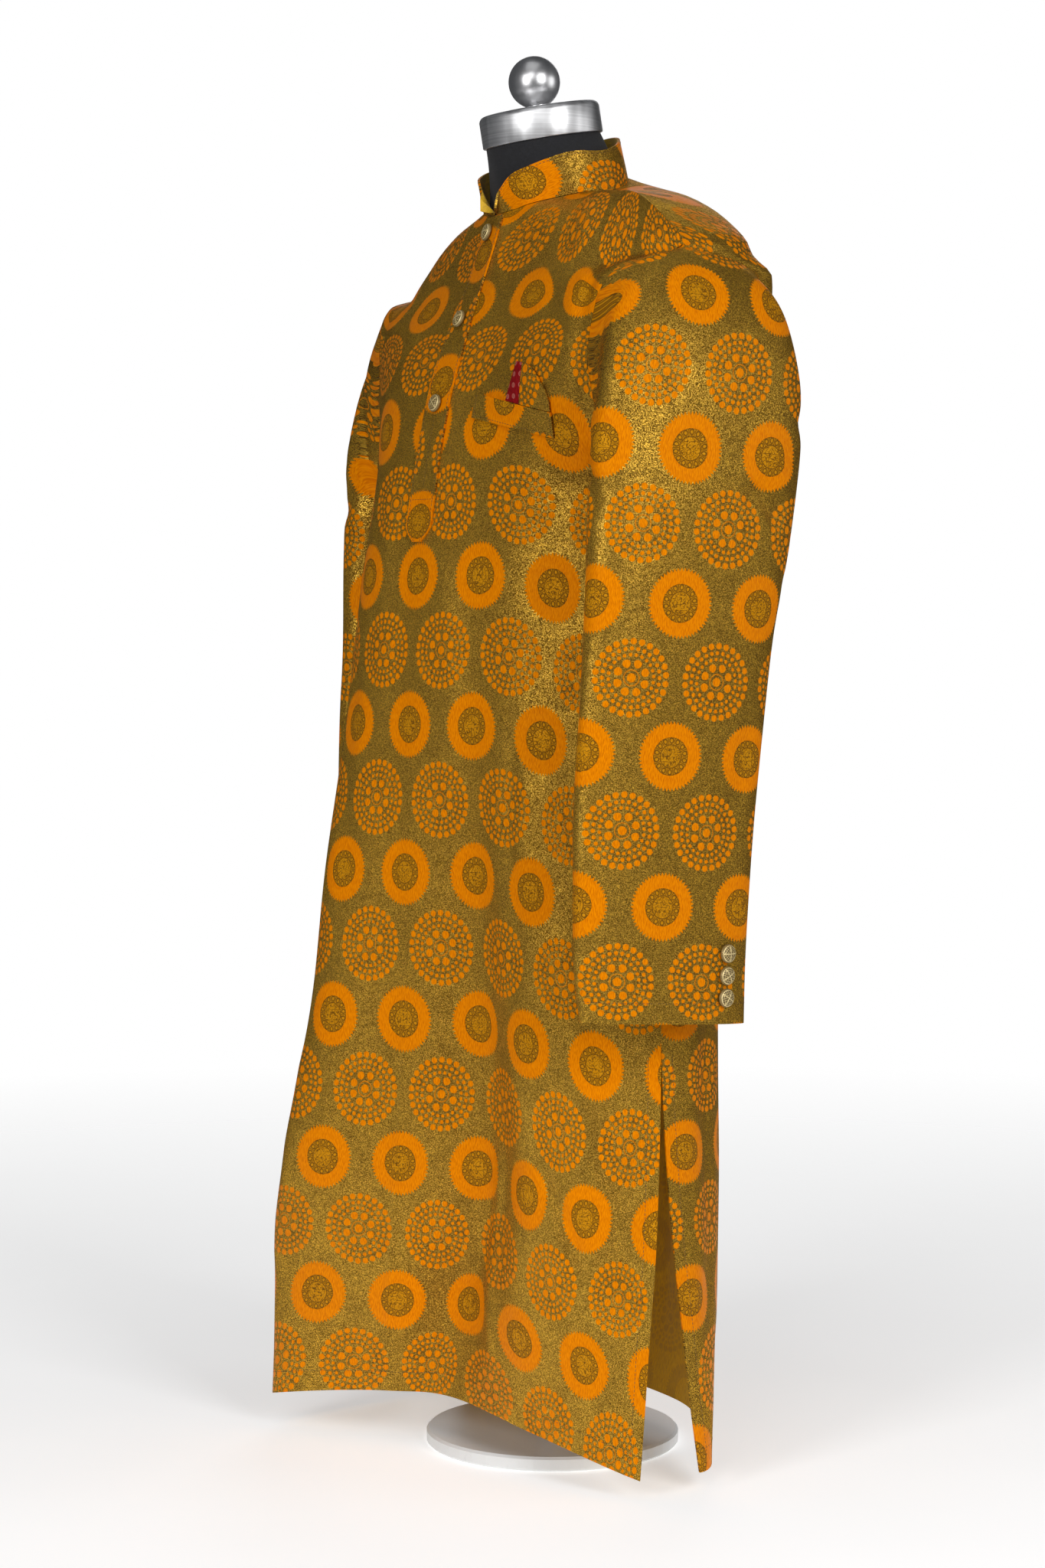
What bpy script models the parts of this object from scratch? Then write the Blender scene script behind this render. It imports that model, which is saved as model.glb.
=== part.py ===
"""Brocade kurta worn on a limbless dress form with a low stand. Metres, +Z up.

The wearer's front faces -Y and the wearer's left is +X. The origin is the centre of the stand's underside.
"""
import math

import bpy
from mathutils import Matrix, Vector

# Heights below are measured from a level that lies under the floor by this much
FLOOR_Z = 0.018

# Cloth
WALL = 0.0018            # thickness of every garment wall
SEAM_GAP = 0.0003        # space between pieces that are sewn together

# Placket, buttons and collar
PLACKET_HALF = 0.016
PLACKET_FOOT = ((0.764, 0.35), (0.770, 0.75), (0.776, 1.0))     # height, and share of the full width there
PLACKET_TOP_DROP = 0.0015                                       # from the neck seam to the placket's top
PLACKET_THICK = 0.0014
PLACKET_GAP = 0.0004
BUTTON_R = 0.0073
BUTTON_DEPTH = 0.0052
BUTTON_GAP = 0.0006
CUFF_BUTTON_FROM_BACK = 0.025
FRONT_BUTTON_Z = (1.014, 0.943, 0.875)
CUFF_BUTTON_Z = (0.444, 0.4285, 0.413)
COLLAR_HEIGHT = 0.032
COLLAR_FRONT_DROP = 0.005
COLLAR_CORNER_R = 0.024
COLLAR_BASE_GAP = 0.0022
COLLAR_TOP_GAP = 0.0120
COLLAR_THICK = 0.0020
COLLAR_FORWARD = 0.0045          # how far forward the collar leans over its height
COLLAR_FRONT_LEAN = 0.05         # how much wider the collar's top is at the front
COLLAR_BACK_LEAN = 0.05          # and how much narrower at the sides and back

# Dress form and stand
CAP_R = 0.0495
CAP_HEIGHT = 0.026
BALL_R = 0.0211
BALL_STEM_R = 0.0095
BALL_STEM_RISE = 0.0025
BALL_RINGS = 10
NECK_LEAN = math.radians(10)
NECK_TOP = Vector((0.0, -0.0090, 1.0915))
NECK_TOP_R = 0.0470
POLE_R = 0.016
BASE_R = 0.105
BASE_THICK = 0.012
FORM_BOTTOM_Z = 0.420
NECK_RINGS = (0.25, 0.6, 1.0)    # shares of the way from the neck seam to the neck's top

# A row for each level of the body, from the hem to the neck seam. edge is where the panels end: the slit or
# side seam, then the armhole, then the shoulder seam. front_z and back_z are the heights at the two centre
# lines, back is how deep the back panel stands there, and square below 1 makes its turn boxier.
BODY_COLUMNS = ("edge_z", "half", "edge_front", "edge_back", "front_z", "back_z", "back", "square")
BODY_ROWS = (
    (0.034, 0.200, -0.033, 0.021, 0.064, 0.060, 0.076, 1.00),
    (0.090, 0.199, -0.028, 0.013, 0.105, 0.105, 0.086, 0.92),
    (0.150, 0.198, -0.023, 0.006, 0.155, 0.155, 0.093, 0.88),
    (0.200, 0.197, -0.018, 0.000, 0.202, 0.202, 0.097, 0.88),
    (0.260, 0.195, -0.014, -0.005, 0.260, 0.260, 0.100, 0.88),
    (0.370, 0.190, -0.009, -0.009, 0.370, 0.370, 0.103, 0.88),
    (0.500, 0.187, -0.008, -0.008, 0.500, 0.500, 0.104, 0.88),
    (0.617, 0.183, -0.006, -0.006, 0.617, 0.617, 0.103, 0.88),
    (0.720, 0.182, -0.003, -0.003, 0.720, 0.720, 0.106, 0.88),
    (0.800, 0.183, 0.000, 0.000, 0.800, 0.800, 0.113, 0.88),
    (0.840, 0.181, -0.052, 0.052, 0.838, 0.842, 0.117, 0.86),
    (0.900, 0.180, -0.070, 0.077, 0.886, 0.906, 0.118, 0.80),
    (0.945, 0.187, -0.066, 0.081, 0.927, 0.957, 0.115, 0.72),
    (0.970, 0.195, -0.052, 0.073, 0.953, 0.983, 0.111, 0.66),
    (0.989, 0.201, 0.002, 0.002, 0.967, 1.004, 0.106, 0.60),
    (1.015, 0.170, 0.002, 0.002, 0.986, 1.031, 0.098, 0.62),
    (1.039, 0.120, 0.001, 0.001, 1.005, 1.052, 0.083, 0.80),
    (1.0445, 0.067, 0.000, 0.000, 1.029, 1.0660, 0.060, 1.00),
)

# For the same rows, turns of the front panel in plan: the far front turn, the centre line, the valley
# beside it and the ridge on the wearer's left
TURN_COLUMNS = ("far_x", "far_y", "mid_x", "mid_y", "valley_x", "valley_y", "ridge_x", "ridge_y")
TURN_ROWS = (
    (-0.157, -0.185, -0.060, -0.127, -0.014, -0.096, 0.100, -0.078),
    (-0.156, -0.183, -0.048, -0.132, -0.004, -0.090, 0.100, -0.081),
    (-0.152, -0.182, -0.034, -0.136, 0.010, -0.086, 0.104, -0.084),
    (-0.137, -0.186, -0.024, -0.137, 0.036, -0.085, 0.112, -0.084),
    (-0.119, -0.187, -0.012, -0.138, 0.054, -0.087, 0.120, -0.084),
    (-0.102, -0.174, -0.002, -0.137, 0.058, -0.095, 0.123, -0.088),
    (-0.096, -0.1605, 0.000, -0.137, 0.060, -0.104, 0.121, -0.090),
    (-0.092, -0.1445, 0.000, -0.136, 0.062, -0.111, 0.121, -0.084),
    (-0.090, -0.1315, 0.000, -0.1295, 0.063, -0.107, 0.121, -0.075),
    (-0.088, -0.1195, 0.000, -0.119, 0.062, -0.101, 0.122, -0.073),
    (-0.088, -0.1148, 0.000, -0.113, 0.061, -0.098, 0.121, -0.079),
    (-0.086, -0.1066, 0.000, -0.103, 0.058, -0.091, 0.124, -0.084),
    (-0.092, -0.0907, 0.000, -0.089, 0.055, -0.082, 0.129, -0.077),
    (-0.120, -0.0705, 0.000, -0.079, 0.056, -0.076, 0.136, -0.068),
    (-0.138, -0.056, 0.000, -0.073, 0.056, -0.071, 0.142, -0.058),
    (-0.122, -0.046, 0.000, -0.066, 0.048, -0.063, 0.124, -0.047),
    (-0.084, -0.041, 0.000, -0.060, 0.038, -0.056, 0.086, -0.042),
    (-0.045, -0.039, 0.000, -0.053, 0.024, -0.050, 0.045, -0.039),
)
SLIT_ROW, ARMPIT_ROW, SHOULDER_ROW, NECK_ROW = 5, 9, 14, 17
NECK_HALF, NECK_FRONT, NECK_BACK = 0.067, 0.053, 0.060
FRONT_COLUMNS, BACK_COLUMNS = 20, 20     # spaces across each panel
CENTRE_COLUMN = 8                        # the front panel's column on the centre line

# Soft folds in the back panel: place across it (-1 to 1), depth at the hem, width, and where it dies out
FOLD_COLUMNS = ("across", "depth", "width", "top_row")
BACK_FOLDS = (
    (-0.52, 0.012, 0.17, 7.0),
    (-0.12, -0.009, 0.16, 6.0),
    (0.30, 0.011, 0.15, 6.6),
    (0.62, -0.008, 0.12, 5.2),
)

# A row for each ring of the sleeve below the armhole, from the armhole to the hem
SLEEVE_COLUMNS = ("inner_x", "inner_z", "outer_x", "outer_z", "front", "back", "square", "tilt")
SLEEVE_ROWS = (
    (0.190, 0.794, 0.213, 0.981, -0.073, 0.084, 0.70, 0.000),
    (0.196, 0.786, 0.233, 0.962, -0.082, 0.091, 0.72, 0.000),
    (0.200, 0.772, 0.250, 0.925, -0.090, 0.091, 0.76, 0.000),
    (0.202, 0.752, 0.260, 0.868, -0.096, 0.087, 0.82, 0.000),
    (0.203, 0.715, 0.262, 0.785, -0.098, 0.077, 0.86, 0.000),
    (0.203, 0.655, 0.258, 0.700, -0.100, 0.063, 0.86, 0.000),
    (0.204, 0.595, 0.252, 0.615, -0.103, 0.055, 0.86, 0.000),
    (0.205, 0.520, 0.247, 0.530, -0.106, 0.049, 0.86, 0.000),
    (0.207, 0.450, 0.243, 0.455, -0.106, 0.045, 0.86, 0.035),
    (0.209, 0.3945, 0.241, 0.3945, -0.101, 0.043, 0.86, 0.060),
)
RIGHT_SLEEVE_BACK = 0.020        # the right sleeve hangs this much further back
SLEEVE_MIDDLE_X = 0.224          # between the inner and outer faces near the cuff

# The dress form below the armpits
FORM_ROWS = (
    (0.420, 0.146, -0.086, 0.082),
    (0.470, 0.150, -0.092, 0.088),
    (0.560, 0.145, -0.092, 0.087),
    (0.650, 0.145, -0.091, 0.087),
    (0.740, 0.153, -0.091, 0.092),
)

# How far the form lies inside the cloth's outer face at each row from the armpits to the neck
FORM_INSETS = ((0.013,), (0.012,), (0.010,), (0.008,), (0.0070,), (0.0034,), (0.0026,), (0.0027,), (0.0060,))

# Pocket on the wearer's left chest, by distance round from the centre line and by height
POCKET_NEAR = (0.048, 0.8810)
POCKET_FAR = (0.143, 0.8615)
WELT_DEPTH = 0.0195
WELT_THICK = 0.0014
SQUARE_THICK = 0.0010
PATCH_GAP = 0.0010       # from the panel to the welt
SQUARE_GAP = 0.0013      # and to the folded square

# Folded square in the pocket: where it leaves the welt, and the (distance, height) line of its top
BROCADE_FOOT = (0.1067, 0.1140, 0.1215, 0.1290, 0.1360, 0.1422)
BROCADE_TOP = ((0.1098, 0.9010), (0.1155, 0.9005), (0.1235, 0.8965),
               (0.1315, 0.8885), (0.1385, 0.8795), (0.1425, 0.8690))
MAROON_FOOT = (0.0890, 0.0977, 0.1063)
MAROON_TOP = ((0.1010, 0.9030), (0.1052, 0.9025), (0.1093, 0.9012))

GOLD = (0.33, 0.22, 0.05, 1.0)
BUTTON_GOLD = (0.52, 0.42, 0.22, 1.0)
BUTTON_LOOK = {"metallic": 0.7, "roughness": 0.45}
MAROON = (0.20, 0.01, 0.02, 1.0)
JERSEY = (0.008, 0.008, 0.010, 1.0)
STEEL = (0.58, 0.59, 0.60, 1.0)
PALE = (0.75, 0.75, 0.74, 1.0)


def clear_scene():
    for old in list(bpy.data.objects):
        bpy.data.objects.remove(old, do_unlink=True)


def finish_of(name, color, roughness, metallic):
    material = bpy.data.materials.new(name)
    material.use_nodes = True
    shader = material.node_tree.nodes["Principled BSDF"]
    shader.inputs["Base Color"].default_value = color
    shader.inputs["Roughness"].default_value = roughness
    shader.inputs["Metallic"].default_value = metallic
    return material


def add_object(name, points, faces, color, roughness=0.6, metallic=0.0):
    """One closed body from points and faces, with its own material."""
    mesh = bpy.data.meshes.new(name)
    mesh.from_pydata([(p.x, p.y, p.z - FLOOR_Z) for p in points], [], faces)
    mesh.validate()
    mesh.shade_smooth()
    mesh.set_sharp_from_angle(angle=math.radians(40))
    obj = bpy.data.objects.new(name, mesh)
    bpy.context.scene.collection.objects.link(obj)
    mesh.materials.append(finish_of(name + "_finish", color, roughness, metallic))
    return obj


# Curves and tables

def cubic(before, start, end, after, part):
    """A smooth curve from start to end, part being 0 to 1."""
    a = 2 * start
    b = end - before
    c = 2 * before - 5 * start + 4 * end - after
    d = 3 * (start - end) + after - before
    return 0.5 * (a + b * part + c * part ** 2 + d * part ** 3)


def gentle_slope(before, here, after):
    """The slope at a row that lets a column pass smoothly and never overshoot."""
    left, right = here - before, after - here
    return 0.0 if left * right <= 0 else 2 * left * right / (left + right)


def along(rows, column, at):
    """A column's value at row number at, which may lie between two rows."""
    at = min(max(at, 0.0), len(rows) - 1.0)
    k = min(int(at), len(rows) - 2)
    before, start, end, after = (rows[min(max(k + step, 0), len(rows) - 1)][column] for step in (-1, 0, 1, 2))
    first, last = gentle_slope(before, start, end), gentle_slope(start, end, after)
    if k == 0:
        first = end - start
    if k == len(rows) - 2:
        last = end - start
    t = at - k
    return (start * (1 + 2 * t) * (1 - t) ** 2 + first * t * (1 - t) ** 2
            + end * t * t * (3 - 2 * t) + last * t * t * (t - 1))


def level(columns, rows, at):
    """Every named column of a table at row number at."""
    return {name: along(rows, n, at) for n, name in enumerate(columns)}


def signed_power(value, power):
    return math.copysign(abs(value) ** power, value)


# Body of the kurta

def body_row(at):
    """Every named size of the body at row number at. Sewn edges of front and back are one."""
    row = level(BODY_COLUMNS, BODY_ROWS, at)
    row.update(level(TURN_COLUMNS, TURN_ROWS, at))
    if SLIT_ROW <= at <= ARMPIT_ROW or at >= SHOULDER_ROW:
        row["edge_back"] = row["edge_front"]
    return row


def front_plan(row, place):
    """A point of the front panel in plan; place runs 0 to 5, wearer's right edge to left edge."""
    wing = 0.35 * (row["edge_back"] - row["edge_front"])
    half, edge = row["half"], row["edge_front"]
    stops = [(-half - wing, edge + 0.05), (-half, edge), (row["far_x"], row["far_y"]),
             (row["mid_x"], row["mid_y"]), (row["valley_x"], row["valley_y"]),
             (row["ridge_x"], row["ridge_y"]), (half, edge), (half + wing, edge + 0.05)]
    k = min(int(place), 4)
    part = place - k
    return tuple(cubic(*(stops[k + step][axis] for step in range(4)), part) for axis in (0, 1))


def drop_share(x, half):
    return max(0.0, 1.0 - (x / half) ** 2)


def front_point(at, place):
    """Outer face of the front panel at row number at."""
    row = body_row(at)
    x, y = front_plan(row, place)
    share = drop_share(x, row["half"])
    return Vector((x, y, row["edge_z"] + (row["front_z"] - row["edge_z"]) * share))


def back_fold(at, across):
    """How far the back panel stands out at a place across it."""
    total = 0.0
    for fold in BACK_FOLDS:
        fold = dict(zip(FOLD_COLUMNS, fold))
        fade = max(0.0, 1.0 - at / fold["top_row"])
        total += fold["depth"] * fade * math.exp(-((across - fold["across"]) / fold["width"]) ** 2)
    return total


def back_point(at, across):
    """Outer face of the back panel; across runs -1 to 1, wearer's right edge to left edge."""
    row = body_row(at)
    angle = across * math.pi / 2
    x = row["half"] * signed_power(math.sin(angle), row["square"])
    y = row["edge_back"] + (row["back"] - row["edge_back"]) * abs(math.cos(angle)) ** row["square"]
    y += back_fold(at, across) * math.cos(angle)
    share = drop_share(x, row["half"])
    return Vector((x, y, row["edge_z"] + (row["back_z"] - row["edge_z"]) * share))


def body_levels(step=0.045):
    """Row numbers spaced evenly enough up the body, two to a row above the armpits."""
    levels = []
    for k in range(NECK_ROW):
        rise = BODY_ROWS[k + 1][0] - BODY_ROWS[k][0]
        parts = 2 if k >= ARMPIT_ROW else max(1, round(rise / step))
        levels += [k + n / parts for n in range(parts)]
    return levels + [float(NECK_ROW)]


def seam_shift(toward_back):
    """Half a seam gap along Y where front and back meet."""
    return Vector((0.0, SEAM_GAP / 2 if toward_back else -SEAM_GAP / 2, 0.0))


# Walls

def grid_normal(grid, r, c, wrap):
    """The outward direction at one point of a grid of points."""
    rows, cols = len(grid), len(grid[0])
    up = grid[min(r + 1, rows - 1)][c] - grid[max(r - 1, 0)][c]
    if wrap:
        over = grid[r][(c + 1) % cols] - grid[r][(c - 1) % cols]
    else:
        over = grid[r][min(c + 1, cols - 1)] - grid[r][max(c - 1, 0)]
    return over.cross(up).normalized()


def grid_faces(rows, cols, wrap, start, flip):
    faces = []
    for r in range(rows - 1):
        for c in range(cols if wrap else cols - 1):
            a, b = start + r * cols + c, start + r * cols + (c + 1) % cols
            quad = (a, b, b + cols, a + cols)
            faces.append(quad[::-1] if flip else quad)
    return faces


def rim_faces(loop, offset):
    """Faces that join a loop of the outer side to the same loop of the inner side."""
    return [(loop[n], loop[n - 1], loop[n - 1] + offset, loop[n] + offset) for n in range(len(loop))]


def own_normal(point, normal, r, c):
    return normal


def panel_normal(point, normal, r, c):
    """A panel's outward direction, turned into the seam's plane at the panel's two sides."""
    if c not in (0, FRONT_COLUMNS):
        return normal
    if in_armhole(point):
        return Vector((0.0, normal.y, normal.z)).normalized()
    return Vector((normal.x, 0.0, normal.z)).normalized()


def wall(name, grid, color, thick=WALL, wrap=False, lift=0.0, turn=own_normal, **look):
    """A cloth wall whose outer face is the grid moved out by lift, seen with rows upward, columns to +X."""
    rows, cols = len(grid), len(grid[0])
    outer, inner = [], []
    for r in range(rows):
        for c in range(cols):
            normal = turn(grid[r][c], grid_normal(grid, r, c, wrap), r, c)
            outer.append(grid[r][c] + normal * lift)
            inner.append(grid[r][c] + normal * (lift - thick))
    count = rows * cols
    faces = grid_faces(rows, cols, wrap, 0, False) + grid_faces(rows, cols, wrap, count, True)
    if wrap:
        faces += rim_faces(list(range(cols)), count)
        faces += rim_faces(list(range(count - cols, count))[::-1], count)
    else:
        loop = list(range(cols)) + [r * cols + cols - 1 for r in range(1, rows)]
        loop += list(range(count - 2, count - cols - 1, -1)) + [r * cols for r in range(rows - 2, 0, -1)]
        faces += rim_faces(loop, count)
    return add_object(name, outer + inner, faces, color, **look)


def in_armhole(point):
    """True where a panel's edge is the armhole and not a seam between front and back."""
    return abs(point.y) > 0.012 and point.z > BODY_ROWS[ARMPIT_ROW][0]


def front_line(at):
    return [front_point(at, 5 * n / FRONT_COLUMNS) for n in range(FRONT_COLUMNS + 1)]


def back_line(at):
    return [back_point(at, 1 - 2 * n / BACK_COLUMNS) for n in range(BACK_COLUMNS + 1)]


def body_panels():
    front = [[p + seam_shift(False) for p in front_line(at)] for at in body_levels()]
    back = [[p + seam_shift(True) for p in back_line(at)] for at in body_levels()]
    wall("front_panel", front, GOLD, turn=panel_normal)
    wall("back_panel", back, GOLD, turn=panel_normal)
    return front


# Sleeves

def armhole_loop():
    """The armhole's edge as seen from the wearer's left: armpit, front, shoulder point, back."""
    levels = [at for at in body_levels() if ARMPIT_ROW <= at <= SHOULDER_ROW]
    front = [front_point(at, 5.0) for at in levels]
    back = [back_point(at, 1.0) for at in levels]
    return front + back[-2:0:-1]


def sleeve_ring(row, count):
    """One ring of the sleeve, in the same order as the armhole's loop."""
    middle = Vector(((row["inner_x"] + row["outer_x"]) / 2, (row["front"] + row["back"]) / 2,
                     (row["inner_z"] + row["outer_z"]) / 2))
    outward = Vector((row["outer_x"], middle.y, row["outer_z"])) - middle
    depth = (row["back"] - row["front"]) / 2
    points = []
    for n in range(count):
        angle = 2 * math.pi * n / count
        out = -signed_power(math.cos(angle), row["square"])
        fore = -signed_power(math.sin(angle), row["square"])
        points.append(middle + outward * out + Vector((0.0, depth * fore, -row["tilt"] * depth * fore)))
    return points


def sleeve_grid(rings_a_row=1.5):
    """Rings of the left sleeve from the hem up to the armhole."""
    start = [p + Vector((SEAM_GAP + 0.0002, 0.0, 0.0)) for p in armhole_loop()]
    rings = [start]
    steps = int((len(SLEEVE_ROWS) - 1) * rings_a_row)
    for n in range(steps):
        rings.append(sleeve_ring(level(SLEEVE_COLUMNS, SLEEVE_ROWS, n / rings_a_row), len(start)))
    rings.append(sleeve_ring(level(SLEEVE_COLUMNS, SLEEVE_ROWS, len(SLEEVE_ROWS) - 1), len(start)))
    return rings[::-1]


def sleeves():
    grid = sleeve_grid()
    last = len(grid) - 1

    def sleeve_normal(point, normal, r, c):
        """At the armhole the wall's end lies in the seam's plane."""
        return Vector((0.0, normal.y, normal.z)).normalized() if r == last else normal

    wall("sleeve_left", grid, GOLD, wrap=True, turn=sleeve_normal)
    slide = [min(1.0, (last - r) / 3) * RIGHT_SLEEVE_BACK for r in range(last + 1)]
    mirrored = [[Vector((-p.x, p.y + slide[r], p.z)) for p in ring][::-1] for r, ring in enumerate(grid)]
    wall("sleeve_right", mirrored, GOLD, wrap=True, turn=sleeve_normal)
    return grid, mirrored


# Collar

def neck_point(angle):
    """The neck seam by angle from the centre front, towards the wearer's left."""
    x = NECK_HALF * math.sin(angle)
    depth = NECK_FRONT if math.cos(angle) > 0 else NECK_BACK
    row = dict(zip(BODY_COLUMNS, BODY_ROWS[NECK_ROW]))
    middle_z = row["front_z"] if math.cos(angle) > 0 else row["back_z"]
    z = row["edge_z"] + (middle_z - row["edge_z"]) * math.cos(angle) ** 2
    return Vector((x, -depth * math.cos(angle), z))


def collar():
    """A standing band with an open front and rounded front corners."""
    columns, rows = 41, 5
    grid = []
    for r in range(rows):
        share = r / (rows - 1)
        gap = COLLAR_BASE_GAP + (COLLAR_TOP_GAP - COLLAR_BASE_GAP) * share
        first = gap / NECK_HALF
        line = []
        for c in range(columns):
            angle = first + (2 * math.pi - 2 * first) * c / (columns - 1)
            base = neck_point(angle)
            from_end = min(angle - first, 2 * math.pi - first - angle) * NECK_HALF
            cut = max(0.0, COLLAR_CORNER_R - from_end)
            front = max(0.0, math.cos(angle)) ** 2
            height = COLLAR_HEIGHT - COLLAR_FRONT_DROP * front - COLLAR_CORNER_R
            height += math.sqrt(max(0.0, COLLAR_CORNER_R ** 2 - cut ** 2))
            lean = 1.0 + (COLLAR_FRONT_LEAN * front - COLLAR_BACK_LEAN * (1 - front)) * share
            rise = Vector((0.0, -COLLAR_FORWARD * share, SEAM_GAP + height * share))
            line.append(Vector((base.x * lean, base.y * lean, base.z)) + rise)
        grid.append(line)
    wall("collar", grid, GOLD, thick=COLLAR_THICK)


# What lies on the front panel

def line_at(grid, z):
    """The panel's points at height z, one in each column."""
    line = []
    for c in range(len(grid[0])):
        r = max([0] + [r for r in range(len(grid) - 1) if grid[r][c].z <= z])
        low, high = grid[r][c], grid[r + 1][c]
        line.append(low.lerp(high, (z - low.z) / (high.z - low.z)))
    return line


def spot(grid, distance, z):
    """The panel's point at a distance round from the centre line, towards the wearer's left, at height z."""
    line = line_at(grid, z)
    step = 1 if distance >= 0 else -1
    c, left = CENTRE_COLUMN, abs(distance)
    while (line[c + step] - line[c]).length < left:
        left -= (line[c + step] - line[c]).length
        c += step
    return line[c].lerp(line[c + step], left / (line[c + step] - line[c]).length)


def patch(name, panel, rows, color, gap, thick):
    """A thin piece that lies on a panel; rows give (distance, height) pairs, lowest row first."""
    grid = [[spot(panel, distance, z) for distance, z in row] for row in rows]
    wall(name, grid, color, thick=thick, lift=gap + thick)


def spread(low, high, count):
    return [low + (high - low) * n / (count - 1) for n in range(count)]


def between(first, last, share):
    return tuple(a + (b - a) * share for a, b in zip(first, last))


def placket(panel):
    """The buttoned front band, with a cut-off point at its foot."""
    heights = [row[CENTRE_COLUMN].z for row in panel]
    top = heights[-1] - PLACKET_TOP_DROP
    shoulder = PLACKET_FOOT[-1][0]
    middle = [(z, 1.0) for z in heights if shoulder + 0.006 < z < top - 0.004]
    rows = list(PLACKET_FOOT) + middle + [(top, 1.0)]
    points = [[(d, z) for d in spread(-PLACKET_HALF * share, PLACKET_HALF * share, 5)] for z, share in rows]
    patch("placket", panel, points, GOLD, PLACKET_GAP, PLACKET_THICK)


def welt_top(distance):
    share = (distance - POCKET_NEAR[0]) / (POCKET_FAR[0] - POCKET_NEAR[0])
    return between(POCKET_NEAR, POCKET_FAR, share)[1]


def pocket(panel):
    """The welt of the chest pocket and the folded square that stands in it."""
    distances = spread(POCKET_NEAR[0], POCKET_FAR[0], 14)
    rows = [[(d, welt_top(d) - down) for d in distances] for down in (WELT_DEPTH, WELT_DEPTH / 2, 0.0)]
    patch("pocket_welt", panel, rows, GOLD, PATCH_GAP, WELT_THICK)
    square(panel, "square_brocade", BROCADE_FOOT, BROCADE_TOP, GOLD)
    square(panel, "square_maroon", MAROON_FOOT, MAROON_TOP, MAROON)


def square(panel, name, foot_distances, top, color):
    foot = [(d, welt_top(d) + 2 * SEAM_GAP) for d in foot_distances]
    rows = [[between(a, b, share) for a, b in zip(foot, top)] for share in (0.0, 0.5, 1.0)]
    patch(name, panel, rows, color, SQUARE_GAP, SQUARE_THICK)


# Buttons

def turned(name, profile, centre, axis, color, count=10, **look):
    """A solid turned from (radius, height) pairs that start and end on its axis."""
    turn = axis.normalized().to_track_quat("Z", "Y").to_matrix()
    points, faces = [centre + turn @ Vector((0, 0, profile[0][1]))], []
    for radius, height in profile[1:-1]:
        for n in range(count):
            angle = 2 * math.pi * n / count
            rim = Vector((radius * math.cos(angle), radius * math.sin(angle), height))
            points.append(centre + turn @ rim)
    points.append(centre + turn @ Vector((0, 0, profile[-1][1])))
    rings = len(profile) - 2
    for n in range(count):
        after = (n + 1) % count
        faces.append((0, 1 + after, 1 + n))
        for r in range(rings - 1):
            a, b = 1 + r * count + n, 1 + r * count + after
            faces.append((a, b, b + count, a + count))
        last = 1 + (rings - 1) * count
        faces.append((last + n, last + after, len(points) - 1))
    return add_object(name, points, faces, color, **look)


def button_profile():
    r, deep = BUTTON_R, BUTTON_DEPTH
    return [(0, 0), (0.80 * r, 0), (r, 0.32 * deep), (0.93 * r, 0.62 * deep),
            (0.62 * r, 0.90 * deep), (0, deep)]


def front_buttons(panel):
    step = 0.004
    for n, z in enumerate(FRONT_BUTTON_Z):
        over = spot(panel, step, z) - spot(panel, -step, z)
        up = spot(panel, 0.0, z + step) - spot(panel, 0.0, z - step)
        normal = over.cross(up).normalized()
        seat = spot(panel, 0.0, z) + normal * (PLACKET_GAP + PLACKET_THICK + BUTTON_GAP)
        turned(f"front_button_{n + 1}", button_profile(), seat, normal, BUTTON_GOLD, **BUTTON_LOOK)


def cuff_buttons(grids):
    """Three buttons up the back of each sleeve's outer face."""
    for side, grid in zip(("left", "right"), grids):
        sign = 1 if side == "left" else -1
        for n, z in enumerate(CUFF_BUTTON_Z):
            here, normal = sleeve_spot(grid, z, CUFF_BUTTON_FROM_BACK, sign)
            seat = here + normal * BUTTON_GAP
            turned(f"{side}_cuff_button_{n + 1}", button_profile(), seat, normal, BUTTON_GOLD, **BUTTON_LOOK)


def sleeve_spot(grid, z, from_back, sign):
    """A point and its outward direction on the sleeve's outer face, by height and distance from its back."""
    ring_below = max(r for r in range(len(grid) - 1) if grid[r][0].z < z)
    low, high = grid[ring_below], grid[ring_below + 1]
    share = (z - low[0].z) / (high[0].z - low[0].z)
    ring = [a.lerp(b, share) for a, b in zip(low, high)]
    back = max(p.y for p in ring)
    outer = sorted((p for p in ring if sign * p.x > SLEEVE_MIDDLE_X), key=lambda p: p.y)
    for a, b in zip(outer, outer[1:]):
        if a.y <= back - from_back <= b.y:
            part = (back - from_back - a.y) / (b.y - a.y)
            run = (b - a).normalized()
            normal = run.cross(Vector((0, 0, 1))).normalized()
            if normal.x * sign < 0:
                normal.negate()
            return a.lerp(b, part), normal
    raise ValueError("no such place on the sleeve")


# Dress form and stand

def inset_lines(lines, insets):
    """Lines of a panel's points moved inward, without the points on its side edges."""
    moved = []
    for r, (line, inset) in enumerate(zip(lines, insets)):
        moved.append([p - grid_normal(lines, r, c, False) * inset for c, p in enumerate(line)][1:-1])
    return moved


def ring_angles():
    """Angles from the centre front, in the order of a form ring."""
    front = [math.pi * (n / FRONT_COLUMNS - 0.5) for n in range(1, FRONT_COLUMNS)]
    back = [math.pi * (n / BACK_COLUMNS + 0.5) for n in range(1, BACK_COLUMNS)]
    return front + back


def oval_ring(z, half, front, back):
    points = []
    for angle in ring_angles():
        depth = -front if math.cos(angle) > 0 else back
        points.append(Vector((half * math.sin(angle), -depth * math.cos(angle), z)))
    return points


def neck_top_ring():
    tilt = Matrix.Rotation(NECK_LEAN, 3, "X")
    return [NECK_TOP + tilt @ p for p in oval_ring(0.0, NECK_TOP_R, -NECK_TOP_R, NECK_TOP_R)]


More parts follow.
